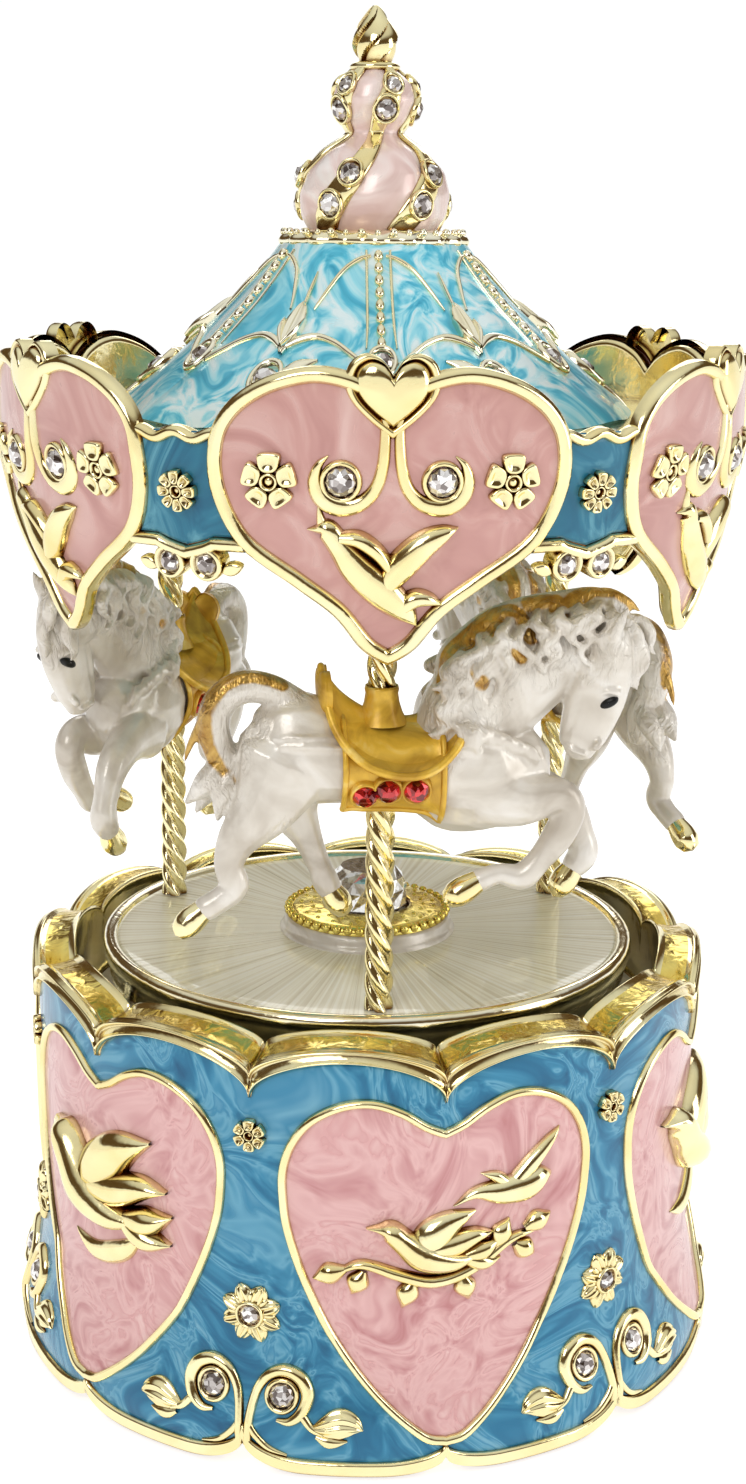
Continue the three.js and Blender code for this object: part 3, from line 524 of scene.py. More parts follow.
def metal_paint(name, light, dark, rough, turned=True):
    paint = Paint(name, Metallic=1.0)
    grain = paint.noise(500, 4, 0.2, 0.6, paint.stretched((1, 1, 14) if turned else (1, 1, 1)))
    paint.wire("Base Color", paint.ramp(grain, [(0.3, dark), (0.7, light)]))
    paint.wire("Roughness", paint.spread(grain, rough - 0.1, rough + 0.12))
    paint.bump(grain, 2e-5, 0.6)
    return paint.material


def plain_paint(name, colour, rough, sparkle=0.05):
    paint = Paint(name, Roughness=rough, Coat_Weight=0.15, Coat_Roughness=0.05, Specular_IOR_Level=0.2)
    cloud = paint.noise(800, 2)
    lifted = tuple(c + sparkle for c in colour)
    paint.wire("Base Color", paint.ramp(cloud, [(0.3, colour), (0.7, lifted)]))
    return paint.material


GOLD = gold_paint()
PALE = gold_paint("bright_gold", (0.97, 0.93, 0.74), (0.90, 0.80, 0.50), shade_creases=False)
WARM_GOLD = gold_paint("warm_gold", (0.95, 0.80, 0.22), (0.78, 0.54, 0.08), (0.12, 0.3), 1.5e-5)
HAMMERED = gold_paint("hammered_gold", (0.95, 0.80, 0.25), (0.70, 0.46, 0.06), (0.14, 0.32), 4e-5)
BLUE = marbled_paint("blue_marbled", [(0.26, (0.004, 0.10, 0.22)), (0.42, (0.015, 0.17, 0.32)),
                                      (0.50, (0.04, 0.25, 0.42)), (0.56, (0.13, 0.38, 0.54)),
                                      (0.61, (0.04, 0.24, 0.41)), (0.72, (0.17, 0.42, 0.57))])
PANEL = marbled_paint("panel_blue", [(0.3, (0.006, 0.10, 0.19)), (0.5, (0.02, 0.17, 0.27)),
                                     (0.66, (0.10, 0.32, 0.42))], stretch=(1, 1, 0.5))
SKY = marbled_paint("sky_marbled", [(0.28, (0.03, 0.36, 0.56)), (0.41, (0.10, 0.56, 0.76)),
                                    (0.51, (0.36, 0.80, 0.92)), (0.64, (0.80, 0.96, 0.99))],
                    stretch=(1.6, 1.6, 0.3), scale=75)
PINK = marbled_paint("pink_marbled", [(0.28, (0.54, 0.23, 0.24)), (0.44, (0.69, 0.38, 0.38)),
                                      (0.53, (0.79, 0.49, 0.48)), (0.60, (0.69, 0.37, 0.37)),
                                      (0.74, (0.84, 0.57, 0.55))], swirl=0.012)
ROSE = marbled_paint("rose_marbled", [(0.3, (0.50, 0.25, 0.23)), (0.5, (0.60, 0.33, 0.30)),
                                      (0.72, (0.72, 0.48, 0.44))], scale=55)
BLUSH = marbled_paint("blush_marbled", [(0.3, (0.74, 0.52, 0.48)), (0.5, (0.90, 0.72, 0.68)),
                                        (0.72, (0.97, 0.90, 0.87))], scale=60)
PEARL = pearl_paint()
DIAL = dial_paint()
OCHRE = lacquer_paint()
# Each stone's colours: the painted glint of its facets, a mid tone, and its painted dark facets.
CRYSTAL = stone_paint("rhinestone", (0.97, 0.96, 0.95), (0.56, 0.51, 0.49), (0.12, 0.09, 0.08))
RUBY = stone_paint("ruby_stone", (0.85, 0.03, 0.03), (0.5, 0.0, 0.004), (0.16, 0.0, 0.0))
CLEAR = stone_paint("clear_crystal", (0.98, 0.98, 0.97), (0.86, 0.85, 0.82), (0.50, 0.46, 0.40))
BLACK = plain_paint("gloss_black", (0.002, 0.002, 0.002), 0.35, 0.004)
ZINC = metal_paint("cast_zinc", (0.62, 0.63, 0.64), (0.44, 0.45, 0.47), 0.42, False)
BRASS = metal_paint("turned_brass", (0.83, 0.66, 0.30), (0.62, 0.45, 0.17), 0.28)
STEEL = metal_paint("bright_steel", (0.72, 0.73, 0.74), (0.50, 0.51, 0.53), 0.24)
BLUED = metal_paint("blued_steel_metal", (0.12, 0.17, 0.34), (0.05, 0.07, 0.16), 0.24)


# ---------------------------------------------------------------- the base

TUB_WALL = [(44.6, -2), (44.6, 0), (44.9, 5), (43.4, 9.5), (42, 16), (41.95, 30), (42.1, 55)]
BASE = Wall(TUB_WALL)
RIM_OUT = (47.9, 51.3)  # the rim's outer edge at a notch and on a crest
RIM_IN = (49.2, 51.7)
ENAMEL_TOP = (44.9, 49.9)
RIM_OUTER = 42.2
RIM_WIDTH = 4.65
SCALLOPS = 12
TUB_INSIDE = 39.6  # radii of the casting's inside
COVER_SEAT = 41.2
WELL = 37.5
DECK_LEDGE = 34.6
FINE = 1440  # columns round a ring with scallops
PLAIN = 720


def scallop(turn):
    return np.sqrt(np.clip(np.sin(math.pi * np.mod(np.degrees(turn) * SCALLOPS / 360, 1)), 0, 1))


def between(pair, share):
    return pair[0] + (pair[1] - pair[0]) * share


def foot_arch(turn):
    """How far the sole rises above the table: the feet stand between the arches."""
    share = np.mod(np.degrees(turn) * SCALLOPS / 360, 1)
    from_join = 1 - np.abs(2 * share - 1)
    rise = 1 - np.minimum(from_join / 0.62, 1)
    return np.where(np.cos(6 * turn) > 0, 2.2, 3.6) * (1 - np.sqrt(1 - rise ** 2))


# Share of the way up from the enamel's edge, and radius: a bead, a sloping band and the rolled edge.
RIM_PROFILE = [(0.0, 42.05), (0.03, 42.6), (0.08, 42.95), (0.14, 43.05), (0.2, 42.95), (0.25, 42.75),
               (0.4, 42.6),
               (0.6, 42.35), (0.7, 42.3), (0.76, 42.5), (0.84, 42.85), (0.92, 42.9), (0.98, 42.6),
               (1.0, 42.35)]


def rim_radius(share):
    return RIM_OUTER - RIM_WIDTH * share


def rim_dish(share):
    """The rim's top is dished between its two rolled edges."""
    outer = 0.30 * math.exp(-(share / 0.07) ** 2)
    inner = 0.30 * math.exp(-((1 - share) / 0.07) ** 2)
    return outer + inner - 0.32 * math.sin(math.pi * share)


def rim_face():
    """The hammered gold of the dished top."""
    turn = rounds(FINE)
    crest = scallop(turn)
    outer, inner = between(RIM_OUT, crest), between(RIM_IN, crest)
    rows = []
    for t in np.linspace(0.1, 0.9, 12):
        rise = rim_dish(t) + 0.03 * math.sin(math.pi * (t - 0.1) / 0.8)
        rows.append(ring_points(rim_radius(t), turn, outer + (inner - outer) * t + rise))
    shape = Shape()
    shape.grid(np.stack(rows, 1), round_rows=True)
    return shape


def tub_shell():
    """The gold casting: the foot, the wall under the enamel, the scalloped rim and the inside."""
    turn = rounds(FINE)
    crest = scallop(turn)
    outer, inner, edge = between(RIM_OUT, crest), between(RIM_IN, crest), between(ENAMEL_TOP, crest)
    sole = foot_arch(turn)
    same = np.ones_like(turn)
    rows = [(TUB_INSIDE * same, 9.5 * same), (COVER_SEAT * same, 9.5 * same), (COVER_SEAT * same, sole),
            (44.0 * same, sole),
            (44.45 * same, sole + 0.12), (44.65 * same, sole + 0.5)]
    for z in (2.6, 5, 7, 9.5, 12, 14, 16, 22, 30, 40):
        rows.append((BASE.radius(z) * same, np.maximum(z * same, sole + 0.6)))
    for t, radius in RIM_PROFILE:
        rows.append((radius * same, edge - 0.1 + (outer - edge + 0.1) * t))
    for t in (0.02, 0.05, 0.09, 0.2, 0.35, 0.5, 0.65, 0.8, 0.92, 0.96, 0.98):
        rows.append((rim_radius(t) + 0 * turn, outer + (inner - outer) * t + rim_dish(t)))
    rows += [(WELL * same, inner - 0.1), (37.4 * same, inner - 0.5), (37.6 * same, inner - 1.6),
             (WELL * same, 44 * same), (WELL * same, 39.2 * same), (DECK_LEDGE * same, 39.2 * same),
             (DECK_LEDGE * same, 36.8 * same), (TUB_INSIDE * same, 34.2 * same)]
    points = np.stack([ring_points(r, turn, z) for r, z in rows], 1)
    shape = Shape()
    shape.grid(points, round_rows=True, round_columns=True)
    return shape


def wall_enamel():
    """The blue enamel between the rim border and the foot border."""
    turn = rounds(FINE)
    low = foot_arch(turn) + 1.3
    high = between(ENAMEL_TOP, scallop(turn))
    shape = Shape()
    rows = []
    for t, h in ((0, -0.2), (0.004, 0.12), (0.012, 0.2), (0.03, 0.22)):
        rows.append((low + (high - low) * t, h))
    for t in np.linspace(0.06, 0.94, 24):
        rows.append((low + (high - low) * t, 0.2))
    for t, h in ((0.97, 0.22), (0.988, 0.2), (0.996, 0.12), (1, -0.2)):
        rows.append((low + (high - low) * t, h))
    shape.grid(np.stack([BASE.turned(turn, z, h) for z, h in rows], 1), round_rows=True)
    return shape


BASE_HEART = [(0, 41.1), (2.2, 42.1), (5, 43.9), (8.2, 45.0), (11.6, 44.6), (14.9, 42.8), (17.1, 40.0),
              (18.2, 36.6),
              (18.2, 33.0), (17.6, 29), (15.6, 23), (12.1, 15.7), (7.4, 9.3), (2.7, 5.2), (0, 4.4)]


def heart_outline(half, steps=6):
    """A closed counter-clockwise heart from its right half, which runs down from the cleft."""
    right = smooth_line(half, steps)
    left = right[1:-1][::-1] * (-1, 1)
    return np.concatenate([right, left])[::-1]


BASE_FLOWER = 18.3
SCROLL_STONE = (4.2, 9.1)


def base_borders():
    """The gold ridges round the hearts, along the foot and up into the scrolls."""
    shape = Shape()
    outline = heart_outline(BASE_HEART)
    for angle in SECTORS:
        swept(shape, BASE.at(angle), outline, 1.15, 0.85, ROUND, closed=True, lift=0.1)
    turn = rounds(PLAIN)
    lines = []
    for x, y in BROAD:
        lines.append(BASE.turned(turn, foot_arch(turn) + 1.1 + 0.95 * x, 0.8 * y))
    shape.grid(np.stack(lines, 1), round_rows=True)
    for angle in BETWEEN:
        place = BASE.at(angle)
        for side in (-1, 1):
            scroll = np.array([(0.5, 3.2), (0.55, 5.2), (0.75, 7.4), (1.3, 9.6), (2.5, 11.3), (4.4, 12.0),
                               (6.3, 11.2), (7.2, 9.4), (6.7, 7.5), (5.4, 6.4), (3.9, 6.4)])
            widths = [1.1, 1.1, 1.15, 1.2, 1.35, 1.6, 1.75, 1.7, 1.5, 1.1, 0.5]
            stroke(shape, place, scroll * (side, 1), widths, 0.95, lift=0.1)
            stroke(shape, place, np.array([(6.9, 7.0), (8.0, 5.9), (9.4, 5.3)]) * (side, 1),
                   [1.1, 0.9, 0.6], 0.7,
                   lift=0.1)
            bud = np.array([(8.3, 5.9), (9.6, 6.2), (11.2, 6.6), (12.8, 6.4), (13.9, 5.9)]) * (side, 1)
            stroke(shape, place, bud, [0.9, 2.6, 3.5, 2.3, 0.2], 1.15, LEAF, lift=0.1)
            sepal = np.array([(8.6, 5.1), (10.2, 4.5), (12.2, 4.7)]) * (side, 1)
            stroke(shape, place, sepal, [0.6, 1.5, 0.2], 0.8, lift=0.1)
            bezel(shape, place, SCROLL_STONE[0] * side, SCROLL_STONE[1], 1.75, 0.75, 0.6, lift=0.1)
            arch = np.array([(0.6, 5.6), (1.5, 4.4), (3.0, 3.1), (5.2, 2.4)]) * (side, 1)
            stroke(shape, place, arch, [0.9, 0.9, 0.8, 0.3], 0.6, lift=0.1)
    return shape


def flower(shape, place, u, z, radius, petals, wide, section, height, turn=0.0):
    for k in range(petals):
        a = turn + 360 * k / petals
        c, s = math.cos(math.radians(a)), math.sin(math.radians(a))
        line = [(u + radius * t * c, z + radius * t * s) for t in (0.18, 0.42, 0.68, 0.88, 1.0)]
        stroke(shape, place, line, [wide * 0.5, wide * 0.95, wide, wide * 0.7, wide * 0.18], height,
               section,
               lift=0.12, steps=4)


def square_flower(shape, place, u, z, radius, petals, turn=90.0):
    """Squarish cupped petals round a ringed middle."""
    breadth = 2.0 / petals
    for k in range(petals):
        a = math.radians(turn + 360 * k / petals)
        middle = np.array([u + 0.64 * radius * math.cos(a), z + 0.64 * radius * math.sin(a)])
        t = np.linspace(0, 2 * math.pi, 20, endpoint=False)
        local = np.stack([np.sign(np.cos(t)) * np.abs(np.cos(t)) ** 0.6 * 0.34 * radius,
                          np.sign(np.sin(t)) * np.abs(np.sin(t)) ** 0.6 * breadth * radius
                          * (1 + 0.28 * np.cos(t))], 1)
        spin = np.array([[math.cos(a), -math.sin(a)], [math.sin(a), math.cos(a)]])
        outline = middle + local @ spin.T
        domed(shape, place, outline, 1.05, section=[(1, -0.3), (1, 0.5), (0.93, 0.85), (0.8, 1),
                                                    (0.62, 0.92),
                                                  (0.4, 0.72), (0.2, 0.62), (0.01, 0.6)], lift=0.12)
    bezel(shape, place, u, z, radius * 0.27, radius * 0.17, 0.75, lift=0.35)
    bead(shape, place, u, z, radius * 0.2, radius * 0.2, lift=0.35)


def base_flowers():
    shape = Shape()
    for angle in BETWEEN:
        place = BASE.at(angle)
        flower(shape, place, 0, BASE_FLOWER, 3.7, 8, 2.3, LEAF, 1.0, 22.5)
        flower(shape, place, 0, BASE_FLOWER, 2.9, 8, 1.2, ROUND, 0.8, 0)
        bezel(shape, place, 0, BASE_FLOWER, 1.5, 0.6, 1.0, lift=0.3)
        square_flower(shape, place, 0, 40.4, 1.95, 6)
    return shape


def bird(shape, place, u, z, size, facing=1, turn=0.0, wing=1.0):
    """A small flying bird: body, raised wings and a forked tail, in a plain design of its own."""
    a = math.radians(turn)
    spin = np.array([[math.cos(a), -math.sin(a)], [math.sin(a), math.cos(a)]])

    def put(points, widths, height, section=ROUND, lift=0.15):
        line = (np.array(points, float) * (facing, 1)) @ spin.T * size + (u, z)
        stroke(shape, place, line, np.array(widths) * size, height * size, section, lift=lift)

    put([(-1.0, 0.16), (-0.82, 0.2), (-0.66, 0.2), (-0.42, 0.06), (-0.1, -0.1), (0.3, -0.12),
         (0.62, -0.02)],
        [0.02, 0.14, 0.34, 0.4, 0.5, 0.38, 0.14], 0.34)
    put([(-0.12, -0.02), (0.0, 0.3 * wing), (0.2, 0.62 * wing), (0.52, 0.9 * wing)], [0.5, 0.58, 0.4, 0.04],
        0.24, ROUND, 0.25)
    put([(-0.05, -0.02), (0.28, 0.16 * wing), (0.6, 0.4 * wing), (0.86, 0.5 * wing)],
        [0.36, 0.4, 0.26, 0.03], 0.24, ROUND, 0.3)
    put([(0.5, -0.04), (0.76, 0.08), (1.0, 0.28)], [0.22, 0.32, 0.03], 0.22)
    put([(0.5, -0.06), (0.8, -0.1), (1.08, -0.02)], [0.22, 0.3, 0.03], 0.22)


def branch_motif(shape, place):
    """A bird on a leafy branch and a second one flying off."""
    stroke(shape, place, [(-11.8, 24.7), (-9, 25.6), (-5, 24.2), (-1, 23.2), (3.4, 24.4), (7.8, 27.2),
                          (11.2, 27.8)],
           [0.7, 1.3, 1.6, 1.8, 1.6, 1.3, 0.5], 1.3, lift=0.15)
    for u, z, turn, long in ((-11, 25, 200, 3.2), (-9, 24.8, 245, 2.6), (6, 26.6, 60, 3.0),
                             (9.8, 28.2, 20, 3.0),
                             (8.6, 26.6, -35, 2.6), (-3.4, 23.6, 250, 3.0), (2.2, 23.8, 285, 2.8)):
        a = math.radians(turn)
        tip = (u + 1.25 * long * math.cos(a), z + 1.25 * long * math.sin(a))
        middle = ((u + tip[0]) / 2, (z + tip[1]) / 2)
        stroke(shape, place, [(u, z), middle, tip], [1.0, 2.8, 0.2], 1.4, lift=0.15)
    bird(shape, place, -1.4, 27.2, 7.8, 1, -12, 0.75)
    stroke(shape, place, [(1.1, 32.2), (3.6, 33.6), (6.6, 33.4), (9.6, 33.6), (11.6, 34.4), (13.2, 34.6)],
           [0.2, 1.6, 3.4, 4.0, 3.0, 0.3], 2.0, lift=0.05)
    stroke(shape, place, [(8.6, 34.4), (10.6, 36.4), (12.8, 38.6), (14.2, 40.0)], [2.2, 2.2, 1.4, 0.1], 1.4,
           lift=0.15)
    stroke(shape, place, [(7.4, 34.2), (6.0, 35.3), (4.2, 35.9)], [1.9, 1.5, 0.1], 1.2, lift=0.15)


def base_birds():
    shape = Shape()
    for angle in SECTORS:
        place = BASE.at(angle)
        if angle % 120 == 0:
            branch_motif(shape, place)
        else:
            bird(shape, place, 0, 28.5, 11.5, 1, -18, 1.0)
            stroke(shape, place, [(-6, 20.6), (-1, 19.6), (4, 21.4), (7.4, 24.4)], [0.2, 2.6, 2.8, 0.2],
                   1.2, lift=0.15)
    return shape


def base_hearts():
    shape = Shape()
    for angle in SECTORS:
        domed(shape, BASE.at(angle), heart_outline(BASE_HEART), 0.34, (0, 28), MENISCUS, lift=0.02)
    return shape


def base_stones():
    shape = Shape()
    for angle in BETWEEN:
        place = BASE.at(angle)
        gem(shape, place, 0, BASE_FLOWER, 1.3, lift=0.75)
        for side in (-1, 1):
            gem(shape, place, SCROLL_STONE[0] * side, SCROLL_STONE[1], 1.45, lift=0.45)
    return shape


def build_base():
    make("tub_casting", tub_shell(), GOLD, "base", ["base_tub"])
    make("tub_rim_face", rim_face(), HAMMERED, "base")
    make("tub_enamel", wall_enamel(), BLUE, "base")
    make("tub_hearts", base_hearts(), PINK, "base")
    make("tub_borders", base_borders(), GOLD, "base")
    make("tub_flowers", base_flowers(), GOLD, "base")
    make("tub_birds", base_birds(), GOLD, "base")
    make("tub_stones", base_stones(), CRYSTAL, "base", smooth=False)


# ---------------------------------------------------------------- the turntable, hub and poles

def build_turntable():
    shape = Shape()
    lathe(shape, [(0.1, 48.8), (20, 48.8), (30, 48.2), (31.0, 46.6), (32.0, 45.7), (32.8, 45.7),
                  (33.2, 46.6),
                  (33.35, 47.8), (33.6, 48.9), (33.95, 49.7), (34.1, 50.4), (34.1, 51.0), (33.95, 51.5),
                  (33.6, 51.85),
                  (33.1, 51.95), (32.6, 51.85), (32.25, 51.55), (32.1, 51.2), (31.9, 51.1)], 240)
    make("turntable_casting", shape, PALE, "carousel")
    face = Shape()
    lathe(face, [(32.25, 51.1), (32.1, 51.35), (31.8, 51.42), (30, 51.42), (24, 51.46), (18, 51.5),
                 (12, 51.55),
                 (6, 51.58), (0.1, 51.6)], 360)
    make("turntable_enamel", face, DIAL, "carousel", ["turntable"])


def build_hub():
    plinth = Shape()
    lathe(plinth, [(11.3, 51.4), (11.3, 51.75), (11.0, 52.1), (10.75, 52.5), (10.7, 53.2), (10.4, 53.5),
                   (9.5, 53.6),
                   (0.1, 53.6)], 120)
    make("hub_plinth_white", plinth, PEARL, "carousel", ["hub_plinth"])
    ring = Shape()
    lathe(ring, [(10.3, 53.5), (10.3, 54.1), (9.9, 54.5), (9.0, 54.62), (7.6, 54.7), (6.2, 54.75),
                 (5.6, 54.9),
                 (5.3, 54.5), (5.3, 53.5)], 120)
    for k in range(44):
        a = 2 * math.pi * k / 44
        for radius, height, size in ((10.15, 54.2, 0.62), (8.6, 54.45, 0.4), (7.2, 54.55, 0.36)):
            if size < 0.6 and k % 2:
                continue
            turn = a if radius > 8 else a + 0.07
            ball(ring, (radius * math.sin(turn), -radius * math.cos(turn), height), size)
    make("hub_ring_beaded", ring, WARM_GOLD, "carousel", ["hub_ring"])
    stone = Shape()
    sides = 14
    turn = rounds(sides)
    rings = []
    for radius, z, shift in ((4.6, 54.0, 0), (5.1, 55.0, 0), (5.1, 57.2, 0.5), (4.6, 58.6, 0),
                             (3.5, 59.8, 0.5)):
        a = turn + shift * 2 * math.pi / sides
        rings.append(ring_points(radius, a, z))
    stone.grid(np.stack(rings, 1), round_rows=True)
    last = np.arange(sides) * 5 + 4
    stone.faces.append(tuple(int(i) for i in last))
    make("hub_stone", stone, CLEAR, "carousel", ["hub_crystal"], smooth=False)


def ball(shape, centre, radius, sides=8, stacks=5):
    rows = []
    for t in np.linspace(0.02, math.pi - 0.02, stacks + 1):
        a = rounds(sides)
        rows.append(np.stack([centre[0] + radius * math.sin(t) * np.cos(a),
                              centre[1] + radius * math.sin(t) * np.sin(a),
                              np.full(sides, centre[2] - radius * math.cos(t))], 1))
    shape.grid(np.stack(rows, 1), round_rows=True)


def build_poles():
    """Four strands laid up into a rope."""
    for number, angle in enumerate(HORSE_ANGLES, 1):
        shape = Shape()
        a = math.radians(angle)
        centre = (POLE_CIRCLE * math.sin(a), -POLE_CIRCLE * math.cos(a), 0)
        heights = np.arange(51.5, 116.0, 0.16)
        around = rounds(40)
        rows = []
        for z in heights:
            phase = 4 * (around + 2 * math.pi * z / 11.5)
            radius = 0.98 + 0.72 * np.abs(np.cos(phase / 2)) ** 0.85
            rows.append(ring_points(radius, around, z) + centre)
        shape.grid(np.stack(rows, 1), round_rows=True)
        make(f"rope_pole_{number}", shape, GOLD, "carousel", [f"pole_{number}"])


# ---------------------------------------------------------------- the canopy

CROWN = Wall([(38.4, 88), (39.9, 95.1), (44.6, 116.4), (44.6, 130)], blur=1.5)
CANOPY_HEART = [(0, 121.6), (2.5, 123.7), (5.8, 124.9), (9.1, 125), (13.3, 123.7), (16.7, 121.3),
                (18.4, 118),
                (18.2, 113.2), (15.4, 107.9), (9.5, 103.7), (5.2, 100.5), (2.3, 96.9), (0, 95.3)]
SECTOR_HALF = math.radians(30)
PANEL_TOP = 118.9
PANEL_LOW = 107.2
CROWN_RADIUS = 42  # about the middle of the crown's slope
CROWN_THICK = 1.5


def crown_edges(turn):
    """The crown's lowest and highest z at each turn."""
    half = smooth_line(CANOPY_HEART, 8)
    widest = int(np.argmax(half[:, 0]))
    nearest = np.abs(np.mod(turn + SECTOR_HALF, 2 * SECTOR_HALF) - SECTOR_HALF)
    top_turn = half[:widest + 1, 0] / CROWN.radius(half[:widest + 1, 1])
    low_turn = (half[widest:, 0] / CROWN.radius(half[widest:, 1]))[::-1]
    high = np.interp(nearest, top_turn, half[:widest + 1, 1])
    low = np.interp(nearest, low_turn, half[widest:, 1][::-1])
    share = nearest / SECTOR_HALF
    wave = 0.45 * np.cos(6 * math.pi * share)
    panel_high = PANEL_TOP + wave
    from_middle = (1 - share) * SECTOR_HALF * CROWN_RADIUS
    panel_low = PANEL_LOW - 1.2 * np.clip(1 - from_middle / 3.4, 0, 1) ** 0.7
    heart_high = np.where(nearest < top_turn[-1], high, 0)
    high = np.where(nearest > top_turn[-1] * 0.93, np.maximum(heart_high, panel_high), high)
    low = np.where(low > panel_low, panel_low, low)
    return low, high


def crown_shell():
    turn = rounds(FINE)
    low, high = crown_edges(turn)
    shape = Shape()
    rows = []
    for t in np.linspace(0, 1, 26):
        rows.append(CROWN.turned(turn, low + (high - low) * t, 0.0))
    for h, dz in ((-0.5, 0.25), (-1.2, 0.1), (-CROWN_THICK, -0.3)):
        rows.append(CROWN.turned(turn, high + dz, h))
    for t in np.linspace(0.97, 0.03, 14):
        rows.append(CROWN.turned(turn, low + (high - low) * t, -CROWN_THICK))
    for h, dz in ((-CROWN_THICK, 0.1), (-1.0, -0.2), (-0.4, -0.2)):
        rows.append(CROWN.turned(turn, low + dz, h))
    shape.grid(np.stack(rows, 1), round_rows=True, round_columns=True)
    lathe(shape, [(43.0, 117.6), (31.0, 117.7), (26.2, 117.7), (26.0, 117.4), (26.0, 115.8), (26.2, 115.5),
                  (31, 115.5), (43.0, 115.5)], 240)
    return shape


def panel_enamel():
    shape = Shape()
    half = smooth_line(CANOPY_HEART, 8)
    heights = half[:, 1]
    widest = int(np.argmax(half[:, 0]))
    for angle in BETWEEN:
        rows = []
        flat = [(t, 0.18) for t in np.linspace(0.04, 0.96, 14)]
        for t, h in [(0.0, -0.2), (0.01, 0.15), *flat, (0.99, 0.15), (1.0, -0.2)]:
            columns = []
            for s in np.linspace(-1, 1, 25):
                z_mid = PANEL_LOW + 0.6 + (PANEL_TOP - 0.5 - PANEL_LOW) * t
                part = slice(0, widest + 1) if z_mid > half[widest, 1] else slice(widest, None)
                side_half = float(np.interp(z_mid, heights[part][::-1], half[part, 0][::-1]))
                reach = SECTOR_HALF - side_half / float(CROWN.radius(z_mid))
                turn = math.radians(angle) + s * reach
                dip = 1.1 * (1 - t) * max(0.0, 1 - abs(s) * reach * CROWN_RADIUS / 3.2) ** 0.7
                columns.append(CROWN.turned(turn, z_mid - dip, h))
            rows.append(np.array(columns))
        shape.grid(np.stack(rows, 1))
    return shape


CROWN_STONE = (5.2, 114.4)
LEDGE_STONE = (2.25, 104.9)


def canopy_borders():
    shape = Shape()
    outline = heart_outline(CANOPY_HEART)
    for angle in SECTORS:
        place = CROWN.at(angle)
        swept(shape, place, outline, 1.85, 1.2, ROUND, closed=True, lift=0.05)
        for side in (-1, 1):
            scroll = np.array([(0.9, 122.8), (0.75, 120.4), (0.75, 118.2), (1.0, 115.8), (1.7, 113.6),
                               (3.2, 112.1),
                               (5.3, 111.7), (7.1, 112.6), (7.9, 114.3), (7.5, 116.0), (6.5, 117.0)])
            widths = [1.1, 1.2, 1.3, 1.4, 1.55, 1.85, 2.2, 2.1, 1.6, 1.0, 0.25]
            stroke(shape, place, scroll * (side, 1), widths, 1.05, lift=0.1)
            bezel(shape, place, CROWN_STONE[0] * side, CROWN_STONE[1], 1.9, 0.75, 0.8, lift=0.12)
    for angle in BETWEEN:
        place = CROWN.at(angle)
        edge = np.array([(u, PANEL_LOW - 0.1 - 1.15 * max(0.0, 1 - abs(u) / 3.4) ** 0.7) for u in
                         np.linspace(-6.9, 6.9, 41)])
        swept(shape, place, edge, 1.5, 1.0, ROUND, lift=0.0)
        upper = np.array([(u, PANEL_TOP - 0.35 + 0.35 * math.cos(u * 1.35)) for u in np.linspace(-5.6, 5.6,
                                                                                                 41)])
        swept(shape, place, upper, 1.3, 0.9, ROUND, lift=0.0)
        for side in (-1, 1):
            domed(shape, place, circle(LEDGE_STONE[0] * side, LEDGE_STONE[1], 1.95, 28), 0.9, section=[
                (1, -1.6), (1, 0.3), (0.95, 0.75), (0.85, 1), (0.72, 0.9), (0.66, 0.6), (0.01, 0.5)],
                lift=0.0)
            domed(shape, place, leaf_outline(3.9 * side, 104.0, 2.6, 1.5, 90 - side * 70), 0.7)
    return shape


PUFFY_HEART = [(0, 125.2), (1.2, 126.8), (2.9, 127.3), (4.4, 126.3), (4.9, 124.4), (4.2, 122.5),
               (2.3, 120.5),
               (0, 118.7)]


def puffy_hearts():
    """The raised double-bordered gold heart over each cleft."""
    shape = Shape()
    outline = heart_outline(PUFFY_HEART, 8)
    middle = (0, 124.0)
    for angle in SECTORS:
        place = CROWN.at(angle)
        domed(shape, place, outline, 0.75, middle,
              [(1.0, -1.5), (1.0, 0.2), (0.97, 0.7), (0.9, 1.0), (0.84, 0.85),
                                                   (0.8, 0.35), (0.77, 0.2)], lift=0.25)
        domed(shape, place, outline, 1.3, middle,
              [(0.79, 0.0), (0.765, 0.3), (0.7, 0.62), (0.6, 0.8), (0.42, 0.95),
                                                   (0.25, 1.03), (0.01, 1.05)], lift=0.4)
    return shape


def canopy_flowers():
    shape = Shape()
    for angle in SECTORS:
        place = CROWN.at(angle)
        for side in (-1, 1):
            square_flower(shape, place, 12.6 * side, 114.3, 3.0, 5)
    for angle in BETWEEN:
        square_flower(shape, CROWN.at(angle), 0, 112.8, 2.3, 8)
    return shape


